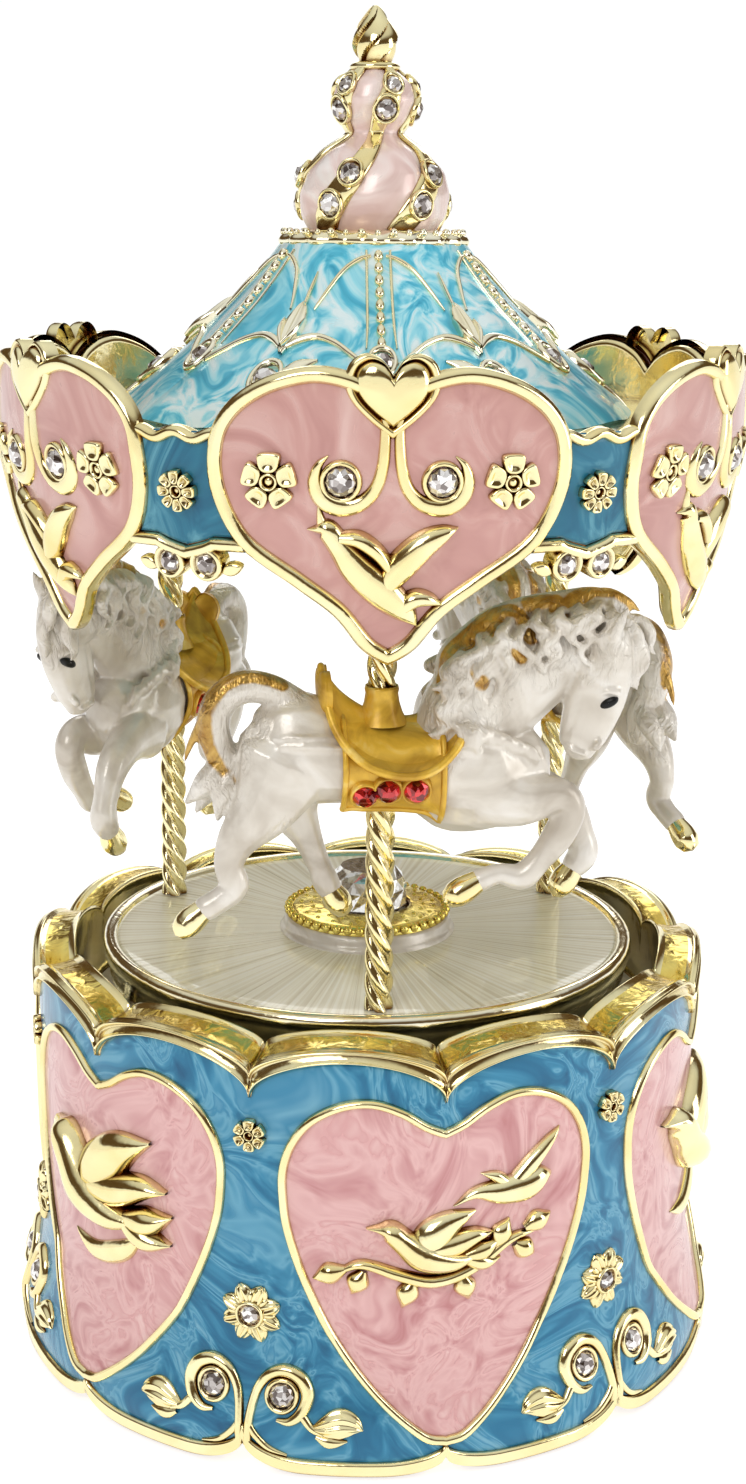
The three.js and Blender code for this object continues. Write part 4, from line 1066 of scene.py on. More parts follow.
def doves():
    """A smooth gliding dove on each canopy heart, in a plain design of its own."""
    shape = Shape()
    for angle in SECTORS:
        place = CROWN.at(angle)
        stroke(shape, place, [(-8.6, 109.3), (-7.6, 109.4), (-6.6, 109.4), (-5.2, 107.6), (-3.4, 105.2),
                              (-0.8, 102.8),
                              (1.6, 100.6), (3.0, 98.9)], [0.2, 1.0, 2.4, 2.8, 3.7, 4.0, 2.8, 0.3], 2.1,
                              lift=0.05)
        stroke(shape, place, [(-7.0, 109.6), (-7.3, 110.9), (-7.5, 112.2)], [1.4, 0.8, 0.1], 0.9, lift=0.2)
        stroke(shape, place, [(-5.2, 108.6), (-3.2, 108.4), (-1.2, 106.9), (0.2, 104.9)],
               [1.4, 1.9, 1.8, 1.4], 1.8,
               lift=0.2)
        stroke(shape, place, [(-0.4, 103.4), (1.2, 105.6), (3.4, 107.8), (5.4, 109.0), (7.0, 109.6)],
               [2.6, 3.5, 3.2, 2.1, 0.2], 2.1, lift=0.1)
        stroke(shape, place, [(1.2, 100.9), (2.6, 102.0), (4.2, 101.9), (5.6, 101.3)], [1.8, 2.1, 1.5, 0.2],
               1.7,
               lift=0.3)
    return shape


def canopy_stones():
    shape = Shape()
    for angle in SECTORS:
        for side in (-1, 1):
            gem(shape, CROWN.at(angle), CROWN_STONE[0] * side, CROWN_STONE[1], 1.6, lift=0.6)
    for angle in BETWEEN:
        for side in (-1, 1):
            gem(shape, CROWN.at(angle), LEDGE_STONE[0] * side, LEDGE_STONE[1], 1.25, lift=0.5)
    return shape


ROOF = Wall([(31.6, 117.9), (30.4, 119.2), (26.6, 122.2), (23.2, 125.1), (19.6, 128.4), (16.8, 131.0),
             (13.8, 134.4),
             (11.2, 137.8)], blur=0.9)


def roof_enamel():
    """The blue cone in twelve soft gores, swelling a little above the swags."""
    turn = rounds(PLAIN)
    rows = []
    for z in np.linspace(118.0, 137.8, 60):
        share = (z - 118) / 19.8
        gore = 0.35 * (np.abs(np.sin(6 * turn)) ** 0.6 - 0.5) * math.sin(math.pi * min(share * 1.15, 1))
        skirt = 0.3 * np.cos(12 * turn) * max(0.0, 1 - share * 4)
        rows.append(ROOF.turned(turn, z, gore + skirt))
    shape = Shape()
    shape.grid(np.stack(rows, 1), round_rows=True)
    return shape


def sector_u(degrees, z):
    return math.radians(degrees) * float(ROOF.radius(z))


SEAM_STONE = 124.9
LEAF_STONE = 122.9


def roof_trim():
    shape = Shape()
    for angle in SECTORS:
        place = ROOF.at(angle)
        for z in np.arange(126.9, 137.4, 1.35):
            outline = np.array([0, z]) + (circle(0, z, 0.55, 12) - (0, z)) * (1.0, 1.12)
            domed(shape, place, outline, 0.75,
                  section=[(1, -0.3), (1, 0.2), (0.9, 0.6), (0.7, 0.85), (0.4, 1),
                                                        (0.01, 1)])
        bezel(shape, place, 0, SEAM_STONE, 1.45, 0.7, 0.7, lift=0.1)
        for side in (-1, 1):
            swag = [(sector_u(side * a, z), z) for a,
                    z in ((4.5, 124.6), (9, 125.8), (14, 126.9), (20, 127.5),
                                                            (25, 127.2), (29, 126.4))]
            stroke(shape, place, swag, [0.5, 0.65, 0.7, 0.7, 0.7, 0.5], 0.5, lift=0.15)
            arch = [(sector_u(side * a, z), z) for a,
                    z in ((4, 136.4), (10, 136.0), (17, 134.8), (22, 132.6),
                                                            (25, 130.4))]
            stroke(shape, place, arch, [0.3, 0.45, 0.45, 0.4, 0.2], 0.3, lift=0.15)
            seam = [(side * 1.35, 137.0), (side * 1.4, 133), (side * 1.5, 129), (side * 1.7, 126.4)]
            stroke(shape, place, seam, [0.3, 0.35, 0.35, 0.2], 0.22, lift=0.12)
    for number, angle in enumerate(BETWEEN):
        place = ROOF.at(angle)
        side = -1 if number % 2 == 0 else 1
        stroke(shape, place, [(0, 125.7), (0, 127.0), (0, 128.5), (0, 130.2), (0, 131.2)],
               [0.5, 1.9, 2.7, 1.7, 0.2],
               1.0, LEAF, lift=0.15)
        stroke(shape, place, [(0, 131), (0, 133), (0, 134.6)], [0.4, 0.4, 0.1], 0.3, lift=0.12)
        for k in (-1, 1):
            stroke(shape, place, [(0, 126.2), (k * 0.9, 127.6), (k * 1.3, 129.2)], [0.4, 0.7, 0.1], 1.1,
                   lift=0.3)
        bezel(shape, place, 0, LEAF_STONE, 1.75, 0.75, 0.8, lift=0.1)
        stroke(shape, place, [(side * 1.4, 123.4), (side * 3, 124.2), (side * 5, 125.0)], [0.6, 1.7, 0.3],
               0.7,
               lift=0.15)
        stroke(shape, place, [(0, 121.2), (0, 119.8), (0, 118.4)], [0.9, 0.7, 0.3], 0.5, lift=0.1)
    return shape


def roof_flange():
    shape = Shape()
    turn = rounds(PLAIN)
    wave = 0.28 * np.cos(18 * turn)
    rows = []
    for r, z, w in ((10.4, 137.3, 0), (10.9, 137.4, 0.6), (11.2, 137.75, 1), (11.3, 138.2, 1),
                    (11.0, 138.65, 1),
                    (10.6, 138.95, 0.7), (10.2, 139.25, 0.2), (8.0, 139.4, 0), (0.1, 139.4, 0)):
        rows.append(ring_points(r + wave * w, turn, z))
    shape.grid(np.stack(rows, 1), round_rows=True)
    for k in range(36):
        a = 2 * math.pi * k / 36
        radius = 10.7
        ball(shape, (radius * math.sin(a), -radius * math.cos(a), 139.1), 0.5 if k % 2 else 0.38)
    return shape


def build_canopy():
    make("crown_casting", crown_shell(), GOLD, "carousel", ["canopy_crown"])
    make("crown_panels", panel_enamel(), PANEL, "carousel")
    hearts = Shape()
    for angle in SECTORS:
        domed(hearts, CROWN.at(angle), heart_outline(CANOPY_HEART), 0.4, (0, 113), MENISCUS, lift=0.02)
    make("crown_hearts", hearts, ROSE, "carousel")
    make("crown_borders", canopy_borders(), GOLD, "carousel")
    make("crown_puffy_hearts", puffy_hearts(), GOLD, "carousel")
    make("crown_flowers", canopy_flowers(), GOLD, "carousel")
    make("crown_doves", doves(), GOLD, "carousel")
    make("crown_stones", canopy_stones(), CRYSTAL, "carousel", smooth=False)
    make("roof_gores", roof_enamel(), SKY, "carousel", ["roof_cone"])
    make("roof_trim", roof_trim(), PALE, "carousel")
    make("roof_flange", roof_flange(), PALE, "carousel")
    stones = Shape()
    for angle in SECTORS:
        gem(stones, ROOF.at(angle), 0, SEAM_STONE, 1.25, lift=0.45)
    for angle in BETWEEN:
        gem(stones, ROOF.at(angle), 0, LEAF_STONE, 1.5, lift=0.5)
    make("roof_stones", stones, CRYSTAL, "carousel", smooth=False)


# ---------------------------------------------------------------- the finial

FINIAL = Wall([(7.5, 139.3), (8.5, 141), (8.85, 143.4), (8.2, 146), (6.0, 148.4), (3.4, 149.9),
               (2.9, 150.6),
               (4.0, 151.9), (4.9, 154.2), (4.3, 156.2), (2.5, 157.6), (2.0, 158.4)], blur=0.5)
BANDS = 5
FINIAL_STONES = ((142.3, 1.35), (145.6, 1.25), (153.2, 1.25), (155.7, 0.95))  # height and radius


def band_turn(z, band):
    """Each gold band winds to the right as it rises."""
    return math.radians(-38 + 360 / BANDS * band) + math.radians(4.6) * (np.asarray(z) - 142.0)


def finial_lobes():
    turn = rounds(240)
    shape = Shape()
    rows = []
    for z in np.linspace(139.3, 158.2, 70):
        phase = (turn - band_turn(z, 0)) * BANDS / 2
        lobe = np.abs(np.sin(phase)) ** 0.7
        radius = float(FINIAL.radius(z))
        rows.append(FINIAL.turned(turn, z, radius * 0.13 * (lobe - 0.75)))
    shape.grid(np.stack(rows, 1), round_rows=True)
    return shape


def finial_bands():
    shape = Shape()
    heights = np.linspace(139.5, 158.0, 60)
    widths = np.interp(heights, [139.5, 141.5, 144, 147, 149.5, 151, 153.8, 156, 158],
                       [3.6, 4.3, 4.2, 3.0, 1.9, 1.8, 3.2, 2.2, 0.9])
    for band in range(BANDS):
        lines = []
        for x, y in BROAD:
            turn = band_turn(heights, band) + x * widths / 2 / FINIAL.radius(heights)
            lines.append(FINIAL.turned(turn, heights, 0.05 + 0.5 * y - 0.05 * FINIAL.radius(heights) * 0.5))
        shape.grid(np.stack(lines[::-1], 1)[::-1])
        for z, radius in FINIAL_STONES:
            place = FINIAL.at(math.degrees(float(band_turn(z, band))))
            bezel(shape, place, 0, z, radius + 0.1, 0.45, 0.5, lift=0.3)
    collar = [(2.4, 157.4), (2.9, 157.7), (3.0, 158.1), (2.6, 158.5), (1.8, 158.7), (0.1, 158.8)]
    lathe(shape, collar, 48)
    return shape


def finial_bud():
    """Five petals wrapped round each other and drawn up to a point."""
    shape = Shape()
    turn = rounds(120)
    rows = []
    profile = [(1.7, 158.2), (1.9, 158.8), (2.35, 159.8), (2.55, 160.7), (2.45, 161.7), (2.0, 162.7),
               (1.45, 163.5),
               (1.05, 164.1), (0.7, 164.6), (0.35, 164.9), (0.02, 165.0)]
    for r, z in smooth_line(profile, 5):
        phase = np.mod((turn - 0.42 * (z - 158)) * 5 / (2 * math.pi), 1)
        fold = 0.8 + 0.28 * phase ** 0.6
        rows.append(ring_points(r * fold, turn, z))
    shape.grid(np.stack(rows, 1), round_rows=True)
    return shape


def build_finial():
    make("finial_lobes", finial_lobes(), BLUSH, "carousel", ["finial_body"])
    make("finial_bands", finial_bands(), GOLD, "carousel")
    stones = Shape()
    for band in range(BANDS):
        for z, radius in FINIAL_STONES:
            gem(stones, FINIAL.at(math.degrees(float(band_turn(z, band)))), 0, z, radius, lift=0.5)
    make("finial_stones", stones, CRYSTAL, "carousel", smooth=False)
    make("finial_petals", finial_bud(), GOLD, "carousel", ["finial_bud"], sharp=50)


# ---------------------------------------------------------------- the horses

# Rows of a limb are x forward, y out to the far side, z, half width and half depth.
TORSO = [(-13.8, 0, 82.2, 2.4, 3.8), (-12.2, 0, 82.5, 4.5, 5.9), (-9.2, 0, 82.5, 5.4, 6.8),
         (-5, 0, 81.4, 5.2, 5.0),
         (0, 0, 80.8, 5.1, 4.6), (4.6, 0, 80.5, 5.2, 5.0), (9.5, 0, 79.9, 5.2, 6.9),
         (13.5, 0, 79.9, 4.7, 6.3),
         (16.2, 0, 80.8, 3.2, 4.4)]
CAPE = [(7.0, 0, 80.3, 5.6, 6.9), (9.5, 0, 79.9, 5.65, 7.25), (13.4, 0, 79.9, 5.1, 6.6),
        (15.9, 0, 80.7, 3.7, 4.8)]
NECK = [(7.5, 0, 83, 4.4, 4.8), (11.5, 0, 88, 3.9, 6.4), (16.8, 0, 92.2, 3.2, 6.0), (22, 0, 94.2, 2.7, 4.6),
        (25.6, 0, 93.0, 2.4, 3.3)]
HEAD = [(25.8, 0, 94.8, 2.3, 2.6), (25.3, 0, 91.4, 2.7, 3.2), (24.6, 0, 88.2, 2.5, 3.2),
        (23.7, 0, 85.4, 2.1, 2.85),
        (23.0, 0, 83.5, 1.9, 2.5), (22.8, 0, 82.4, 1.5, 2.0)]
JAW = [(23.6, 0, 90.6, 2.3, 1.9), (22.3, 0, 87.8, 2.0, 1.4), (21.6, 0, 85.2, 1.5, 1.1),
       (21.3, 0, 83.4, 1.2, 0.9)]
HEAD_TURN = math.radians(-18)
HEAD_HINGE = 19.0
LEGS = [
    [(-11, -2.3, 81.5, 3.0, 4.9), (-13.4, -3.0, 77, 2.5, 3.3), (-16.4, -3.2, 73.4, 1.75, 2.1),
     (-17.5, -3.2, 70.4, 1.35, 1.5), (-16.9, -3.2, 67.9, 1.3, 1.5), (-18.4, -3.2, 66.4, 1.25, 1.3),
     (-20.2, -3.2, 65.3, 1.3, 1.3)],
    [(-9.5, 2.3, 80, 3.0, 4.6), (-9.8, 2.9, 75.6, 2.2, 2.9), (-8.1, 3.1, 71.6, 1.4, 1.6),
     (-6.7, 3.1, 68.2, 1.15, 1.25),
     (-6.0, 3.1, 66.4, 1.3, 1.4), (-5.4, 3.1, 65.2, 1.2, 1.3)],
    [(11.5, -2.4, 78, 2.6, 4.0), (15.6, -3.1, 77, 2.2, 2.7), (19.6, -3.4, 77.5, 1.7, 1.9),
     (21.2, -3.4, 76.0, 1.6, 1.6),
     (20.0, -3.4, 72.9, 1.5, 1.65), (17.8, -3.4, 69.9, 1.25, 1.3), (15.8, -3.4, 68.0, 1.35, 1.4),
     (13.2, -3.4, 68.4, 1.0, 1.05), (10.9, -3.4, 67.7, 1.2, 1.2)],
    [(12, 2.4, 77.5, 2.6, 3.8), (17.8, 3.0, 76.8, 2.0, 2.5), (22.0, 3.2, 74.6, 1.7, 2.0),
     (24.0, 3.2, 71, 1.3, 1.5),
     (24.5, 3.2, 68.6, 1.5, 1.6), (23.4, 3.2, 66.9, 1.25, 1.35)],
]
HOOVES = [((-20.2, -3.2, 65.3), (-22.4, -3.2, 63.4)), ((-5.4, 3.1, 65.2), (-4.2, 3.1, 63.3)),
          ((10.9, -3.4, 67.7), (8.2, -3.4, 66.1)), ((23.4, 3.2, 66.9), (21.9, 3.2, 64.7))]
CREST = [(6.9, 0, 89.6), (7.4, 0, 93.2), (9.8, 0, 95.6), (12.4, 0, 97.4), (16.0, 0, 98.6), (20.0, 0, 99.2),
         (24.0, 0, 99.6), (27.4, 0, 98.6)]
TAIL_ARCH = [(-9.4, 0, 87.6, 2.0, 1.9), (-12.6, 0, 89.6, 2.0, 1.8), (-15.8, 0, 89.9, 2.1, 1.9),
             (-18.3, 0, 88.0, 2.1, 1.9), (-18.9, 0, 85.0, 2.0, 1.9), (-17.9, 0, 82.0, 2.1, 1.9),
             (-16.6, 0, 79.2, 2.1, 2.0), (-16.2, 0, 76.6, 1.5, 1.4)]
TAIL_GILT = [[(-11.5, -1.0, 90.4), (-14.5, -1.1, 91.5), (-17.6, -1.1, 90.4), (-19.6, -1.1, 87.2),
              (-19.6, -1.2, 84.2),
              (-18.2, -1.3, 81.2), (-15.8, -1.5, 78.6)],
             [(-16.0, -0.4, 91.3), (-18.6, -0.2, 89.4), (-20.2, 0, 86.2), (-21.6, 0, 83.2),
              (-22.1, 0, 81.6)]]
TAIL_FLUFF = [[(-18.2, -0.8, 81.4, 1.3, 1.2), (-19.9, -0.9, 79.2, 1.7, 1.4), (-22.0, -0.6, 77.0, 0.3, 0.3)],
              [(-17.6, 0.6, 81.2, 1.4, 1.2), (-19.2, 0.8, 78.4, 1.7, 1.4), (-20.8, 0.8, 75.6, 0.3, 0.3)],
              [(-17.2, -1.2, 80.4, 1.2, 1.1), (-18.0, -1.6, 78.0, 1.5, 1.3), (-18.6, -1.5, 75.2, 0.3, 0.3)],
              [(-14.6, -1.6, 85.6, 0.6, 0.7), (-15.6, -1.9, 82.4, 0.8, 0.9), (-13.6, -2.2, 79.8, 0.8, 0.8),
               (-13.2, -2.4, 77.2, 0.4, 0.4)],
              [(-15.4, -1.6, 78.6, 0.9, 0.9), (-14.6, -2.4, 76.2, 1.1, 1.0), (-15.2, -2.6, 74.6, 0.6, 0.5)],
              [(-15.0, -1.6, 77.8, 0.8, 0.8), (-13.0, -2.9, 75.8, 0.9, 0.9), (-12.0, -3.2, 75.4, 0.4, 0.4)]]


def spread_limb(points, thick, ends=(0.35, 0.12)):
    """A lock of hair: a tapering limb through (x, y, z) points."""
    points = np.asarray(points, float)
    t = np.linspace(0, 1, len(points))
    thickening = ends[0] + (1 - ends[0]) * t / 0.4
    thinning = 1 - (1 - ends[1]) * ((t - 0.4) / 0.6) ** 1.6
    size = thick * np.where(t < 0.4, thickening, thinning)
    return np.column_stack([points, size, size * 0.72])


def mane_locks():
    """Wavy locks in three layers that fall from the crest down both sides of the neck and over the brow."""
    locks = []
    crest = smooth_line(CREST, 6)
    chance = random.Random(5)
    layers = ((0.0, 4.6, 3.7, 0.95), (0.5, 7.6, 3.9, 0.85), (0.25, 10.2, 3.5, 0.75))
    for side in (-1, 1):
        for share, fall, out, thick in layers:
            for k in range(11):
                at = crest[int((k + share) / 11.5 * (len(crest) - 1))]
                lean = chance.uniform(-2.2, 0.8)
                wave = chance.uniform(0.5, 1.0) * chance.choice((-1, 1))
                drop = fall * chance.uniform(0.8, 1.12) * (1.0 - 0.06 * abs(k - 4))
                locks.append(spread_limb([
                    (at[0] + 0.6, side * 0.5, at[2] - 0.4),
                    (at[0] + 0.2 + lean * 0.2, side * (out * 0.66), at[2] - drop * 0.2),
                    (at[0] + wave * 0.7 + lean * 0.4, side * out, at[2] - drop * 0.46),
                    (at[0] - wave + lean * 0.7, side * out * 1.04, at[2] - drop * 0.72),
                    (at[0] + wave * 0.6 + lean, side * out, at[2] - drop * 0.92),
                    (at[0] + wave * 1.3 + lean, side * out * 1.02, at[2] - drop * 0.86)], thick))
    for side in (-1, 1):
        for k in range(4):
            locks.append(spread_limb([(25.2 + k, side * 0.9, 97.6 - 0.4 * k),
                                      (27.4 + k * 0.7, side * 1.5, 97.2 - k),
                                      (29.0 + k * 0.2, side * 1.7, 95.0 - k),
                                      (28.2, side * 1.9, 92.9 - 0.9 * k),
                                      (29.3, side * 1.7, 91.2 - 0.8 * k)], 0.9))
    locks.append(spread_limb([(27, 0, 97), (29.2, 0, 97), (30.6, 0, 95.4), (30.6, 0, 93.6),
                              (31.5, 0, 92.8)], 1.05))
    return locks


CREST_CAP = [(*point, 1.5, 1.1) for point in CREST]


def crest_curls():
    """The gilded ends of the mane along the crest."""
    return [
        [(6.7, -1.4, 88.4), (6.9, -1.6, 90.8), (7.2, -1.5, 93.2), (8.6, -1.3, 94.8), (10.4, -1.2, 96.4),
         (12.2, -1.1, 97.9)],
        [(12.2, -1.1, 97.9), (14.0, -1.6, 98.4), (15.6, -2.2, 97.2), (16.4, -2.6, 95.6)],
        [(12.0, -1.6, 97.6), (12.6, -2.6, 96.0), (13.8, -3.3, 94.4), (15.0, -3.5, 93.6)],
        [(9.2, -2.2, 94.8), (9.0, -3.0, 93.0), (9.6, -3.5, 91.6), (10.6, -3.7, 90.8)],
        [(16.4, -0.9, 98.9), (18.4, -1.3, 99.4), (20.2, -1.5, 98.8), (21.6, -1.3, 99.6),
         (23.4, -0.8, 100.4)],
        [(19.2, -1.4, 99.2), (19.4, -2.2, 97.8), (20.2, -2.7, 96.8)],
        [(23.4, -0.7, 100.3), (25.6, -0.6, 100.3), (27.6, -0.8, 99.5), (29.0, -0.9, 98.4)],
    ]


def head_shape():
    """The head hangs nearly upright from the poll."""
    head = Shape()
    for limb in (HEAD, JAW):
        tube(head, limb)
    for side in (-1, 1):
        tube(head, [(26.2, 1.3 * side, 95.6, 1.0, 0.8), (27.0, 1.7 * side, 97.4, 0.85, 0.6),
                    (27.8, 1.9 * side, 99.2, 0.15, 0.12)])
        tube(head, [(27.1, 2.2 * side, 89.4, 0.4, 0.4), (26.1, 2.6 * side, 89.7, 0.5, 0.3),
                    (25.0, 2.4 * side, 89.2, 0.3, 0.2)])
        tube(head, [(25.2, 1.7 * side, 83.6, 0.35, 0.35), (24.9, 1.95 * side, 83.1, 0.5, 0.45),
                    (24.4, 1.8 * side, 82.7, 0.3, 0.3)])
        tube(head, [(23.6, 1.6 * side, 82.0, 0.3, 0.25), (22.2, 1.75 * side, 82.5, 0.4, 0.3),
                    (21.4, 1.4 * side, 83.0, 0.2, 0.2)])
    return head


def head_turned(shape, target):
    """Swings the head's pieces a little outwards on the neck and adds them to the target."""
    spin = (Matrix.Translation((HEAD_HINGE, 0, 0)) @ Matrix.Rotation(HEAD_TURN, 4, "Z")
            @ Matrix.Translation((-HEAD_HINGE, 0, 0)))
    target.merged(shape, spin)


def horse_shape():
    shape = Shape()
    legs = [np.array(leg) * (1, 1, 1, 1.14, 1.14) for leg in LEGS]
    for limb in [TORSO, CAPE, NECK, CREST_CAP, TAIL_ARCH, *legs, *TAIL_FLUFF, *mane_locks()]:
        tube(shape, limb)
    head_turned(head_shape(), shape)
    for line in TAIL_GILT:
        tube(shape, spread_limb(line, 0.75, (0.5, 0.25)))
    for line in crest_curls():
        for side in (1, -1):
            tube(shape, spread_limb(np.array(line) * (1, side, 1) - (0, 0, 0.35), 0.85, (0.5, 0.3)))
    for side in (-1, 1):
        for rise in (84.9, 84.0):
            strap = []
            for x in np.linspace(-13.4, -4.2, 12):
                sag = math.sin(x * 0.5)
                strap.append((x, side * flank_depth(x, rise + 0.25 * sag, 0.12), rise + 0.2 * sag, 0.3,
                              0.3))
            tube(shape, strap, sides=8)
        ruffle(shape, side)
    return shape


def torso_at(x):
    """The torso's middle height, half width and half depth at x."""
    table = np.array(TORSO)
    return [np.interp(x, table[:, 0], table[:, i]) for i in (2, 3, 4)]


def flank_depth(x, z, lift=0.0):
    """How far from the middle the torso's side is at (x, z)."""
    middle, wide, deep = torso_at(x)
    return (wide + lift) * math.sqrt(max(0.0, 1 - ((z - middle) / (deep + lift)) ** 2)) + lift * 0.2


def ruffle(shape, side):
    """A gathered ribbon round the foot of the neck."""
    for k in range(7):
        x = 8.4 + 1.35 * k
        z = 85.4 - 0.16 * k ** 1.6
        y = side * (4.9 - 0.12 * k - 0.02 * k * k)
        tube(shape, [(x - 0.9, y * 0.96, z + 0.9, 0.35, 0.5), (x, y * 1.05, z, 0.5, 0.8),
                     (x + 0.9, y * 0.97, z - 1.0 + 0.4 * (k % 2), 0.3, 0.5)], sides=8)
    for k in range(5):
        a = 2 * math.pi * k / 5
        centre = (9.6, side * 5.4, 84.6)
        tip = (centre[0] + 1.5 * math.cos(a), side * 5.2, centre[2] + 1.5 * math.sin(a))
        tube(shape, [(*centre, 0.4, 0.4), (*[(p + q) / 2 for p, q in zip(centre, tip)], 0.6, 0.6),
                     (*tip, 0.3, 0.3)],
             sides=8)


def remeshed(name, shape, voxel, rounds_of_smoothing):
    """One closed skin round overlapping limbs."""
    source = linked(name + "_limbs", mesh_of(name + "_limbs", shape))
    skin = source.modifiers.new("skin", "REMESH")
    skin.mode = "VOXEL"
    skin.voxel_size = voxel
    skin.use_smooth_shade = True
    soften = source.modifiers.new("soften", "SMOOTH")
    soften.factor = 0.5
    soften.iterations = rounds_of_smoothing
    bpy.context.view_layer.update()
    graph = bpy.context.evaluated_depsgraph_get()
    made = bpy.data.meshes.new_from_object(source.evaluated_get(graph))
    bpy.data.objects.remove(source)
    return made


def near_lines(points, lines):
    """Distance in millimetres from each point to the nearest of several lines."""
    best = np.full(len(points), 99.0)
    for line in lines:
        for spot in smooth_line(np.array(line), 10):
            best = np.minimum(best, np.linalg.norm(points - spot, axis=1))
    return best


def gild(mesh):
    points = np.zeros(len(mesh.vertices) * 3)
    mesh.vertices.foreach_get("co", points)
    points = points.reshape(-1, 3)
    lines = list(TAIL_GILT)
    for line in crest_curls():
        lines += [line, np.array(line) * (1, -1, 1)]
    lines.append([(30.6, -1.4, 90.0), (30.8, -1.4, 88.4)])
    away = near_lines(points, lines)
    spots = np.concatenate([smooth_line(lock[:, :3], 5) for lock in mane_locks()]
                           + [smooth_line(np.array(line)[:, :3], 5) for line in (TAIL_ARCH, *TAIL_FLUFF)])
    tree = KDTree(len(spots))
    for number, spot in enumerate(spots):
        tree.insert(spot, number)
    tree.balance()
    from_hair = np.array([tree.find(point)[2] for point in points])
    for name, value in (("gilt", 1.55 - away / 0.95), ("hair", 2.6 - from_hair / 1.1)):
        layer = mesh.attributes.new(name, "FLOAT", "POINT")
        layer.data.foreach_set("value", np.clip(value, 0, 1).astype(np.float32))


def horse_place(angle):
    a = math.radians(angle)
    spot = Vector((POLE_CIRCLE * math.sin(a), -POLE_CIRCLE * math.cos(a), 0))
    return Matrix.Translation(spot) @ Matrix.Rotation(math.radians(angle + 5), 4, "Z")


def stand(name, mesh, paint, angle, stands_for=(), smooth=True):
    """A copy of a mesh drawn round the pole, set at one of the three places."""
    copy = mesh.copy()
    copy.transform(Matrix.Diagonal((MM, MM, MM, 1)) @ Matrix.Rotation(math.radians(CAROUSEL_REST), 4, "Z")
                   @ horse_place(angle))
    copy.materials.clear()
    piece = dressed(name, copy, paint, smooth, None)
    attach(piece, "carousel")
    if stands_for:
        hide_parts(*stands_for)


def hooves():
    shape = Shape()
    for top, toe in HOOVES:
        top, toe = np.array(top), np.array(toe)
        middle = (top * 0.4 + toe * 0.6)
        tube(shape, [(*top, 1.25, 1.25), (*middle, 1.6, 1.6), (*toe, 1.7, 1.55)], sides=16, steps=6)
    return shape


def eyes():
    shape, eye = Shape(), Shape()
    for side in (-1, 1):
        rows = []
        turn = rounds(20)
        for share, rise in ((1, -0.5), (1, 0.0), (0.9, 0.2), (0.65, 0.34), (0.35, 0.42), (0.02, 0.45)):
            along, up = 1.0 * share * np.cos(turn), 0.68 * share * np.sin(turn)
            rows.append(np.stack([26.1 + along + 0.3 * up, np.full(20, side * (2.3 + rise)),
                                  88.3 + up + 0.25 * along], 1))
        order = rows if side < 0 else rows[::-1]
        eye.grid(np.stack(order, 1), round_rows=True)
    head_turned(eye, shape)
    return shape


# Rows of the seat are the ridge's x and z, then the rim's x, z and half width.
SEAT = [(-6.9, 92.4, -6.9, 91.6, 0.8), (-6.0, 91.0, -6.5, 89.0, 2.6), (-4.8, 89.5, -5.9, 86.6, 4.2),
        (-3.2, 88.2, -4.6, 84.4, 5.8), (-1.4, 87.2, -2.2, 82.4, 7.0), (0.8, 86.6, 1.2, 81.4, 7.4),
        (3.2, 86.4, 4.4, 81.7, 7.2), (5.2, 87.1, 6.8, 83.2, 6.2), (6.5, 88.4, 8.3, 84.9, 5.0),
        (7.0, 90.0, 8.8, 86.6, 3.4),
        (7.3, 91.6, 8.4, 88.8, 1.6)]
CANTLE = [(0, 90.4), (1.4, 91.9), (3.0, 91.5), (3.9, 90.0), (3.4, 88.2), (1.8, 86.4), (0, 84.8)]
SLEEVE = [(3.0, 85.6), (2.35, 86.9), (2.0, 88.0), (1.85, 89.0), (1.95, 89.5), (1.85, 89.9), (1.7, 89.8)]


def saddle_shape():
    """A dished seat with a rolled rim, a heart-shaped cantle, a sleeve round the pole and a blanket."""
    shape = Shape()
    seat = smooth_line(SEAT, 6)
    sheet = []
    across = np.linspace(-1, 1, 41)
    share = np.abs(across)
    for under in (0.0, 0.6):
        rows = []
        for top_x, high, rim_x, low, half in seat:
            drop = share ** 1.3
            dish = min(1.0, half / 6) * 1.5 * np.sin(math.pi * share) * (0.6 if under else 1)
            rows.append(np.stack([top_x + (rim_x - top_x) * drop, half * np.sign(across) * share ** 0.8,
                                  high + (low - high) * drop - dish - under], 1))
        sheet.append(np.array(rows))
    shape.grid(sheet[0])
    shape.grid(sheet[1][:, ::-1])
    top = sheet[0]
    for side in (0, -1):
        tube(shape, [(*p, 0.5, 0.5) for p in top[::3, side] - (0, 0, 0.25)], sides=10, steps=3)
    for end in (0, -1):
        tube(shape, [(*p, 0.4, 0.4) for p in top[end, ::5] - (0, 0, 0.2)], sides=10, steps=3,
             side=(1, 0, 0))
    outline = heart_outline(CANTLE, 5)
    for facing, height in ((-1, 0.9), (1, 0.5)):
        def back(u, v, h=0.0, facing=facing):
            return np.stack(np.broadcast_arrays(-6.2 + facing * h - 0.05 * (v - 85), facing * u, v), -1)
        domed(shape, back, outline, height, (0, 89.2))
    lathe(shape, SLEEVE, 40)
    blanket(shape)
    return shape


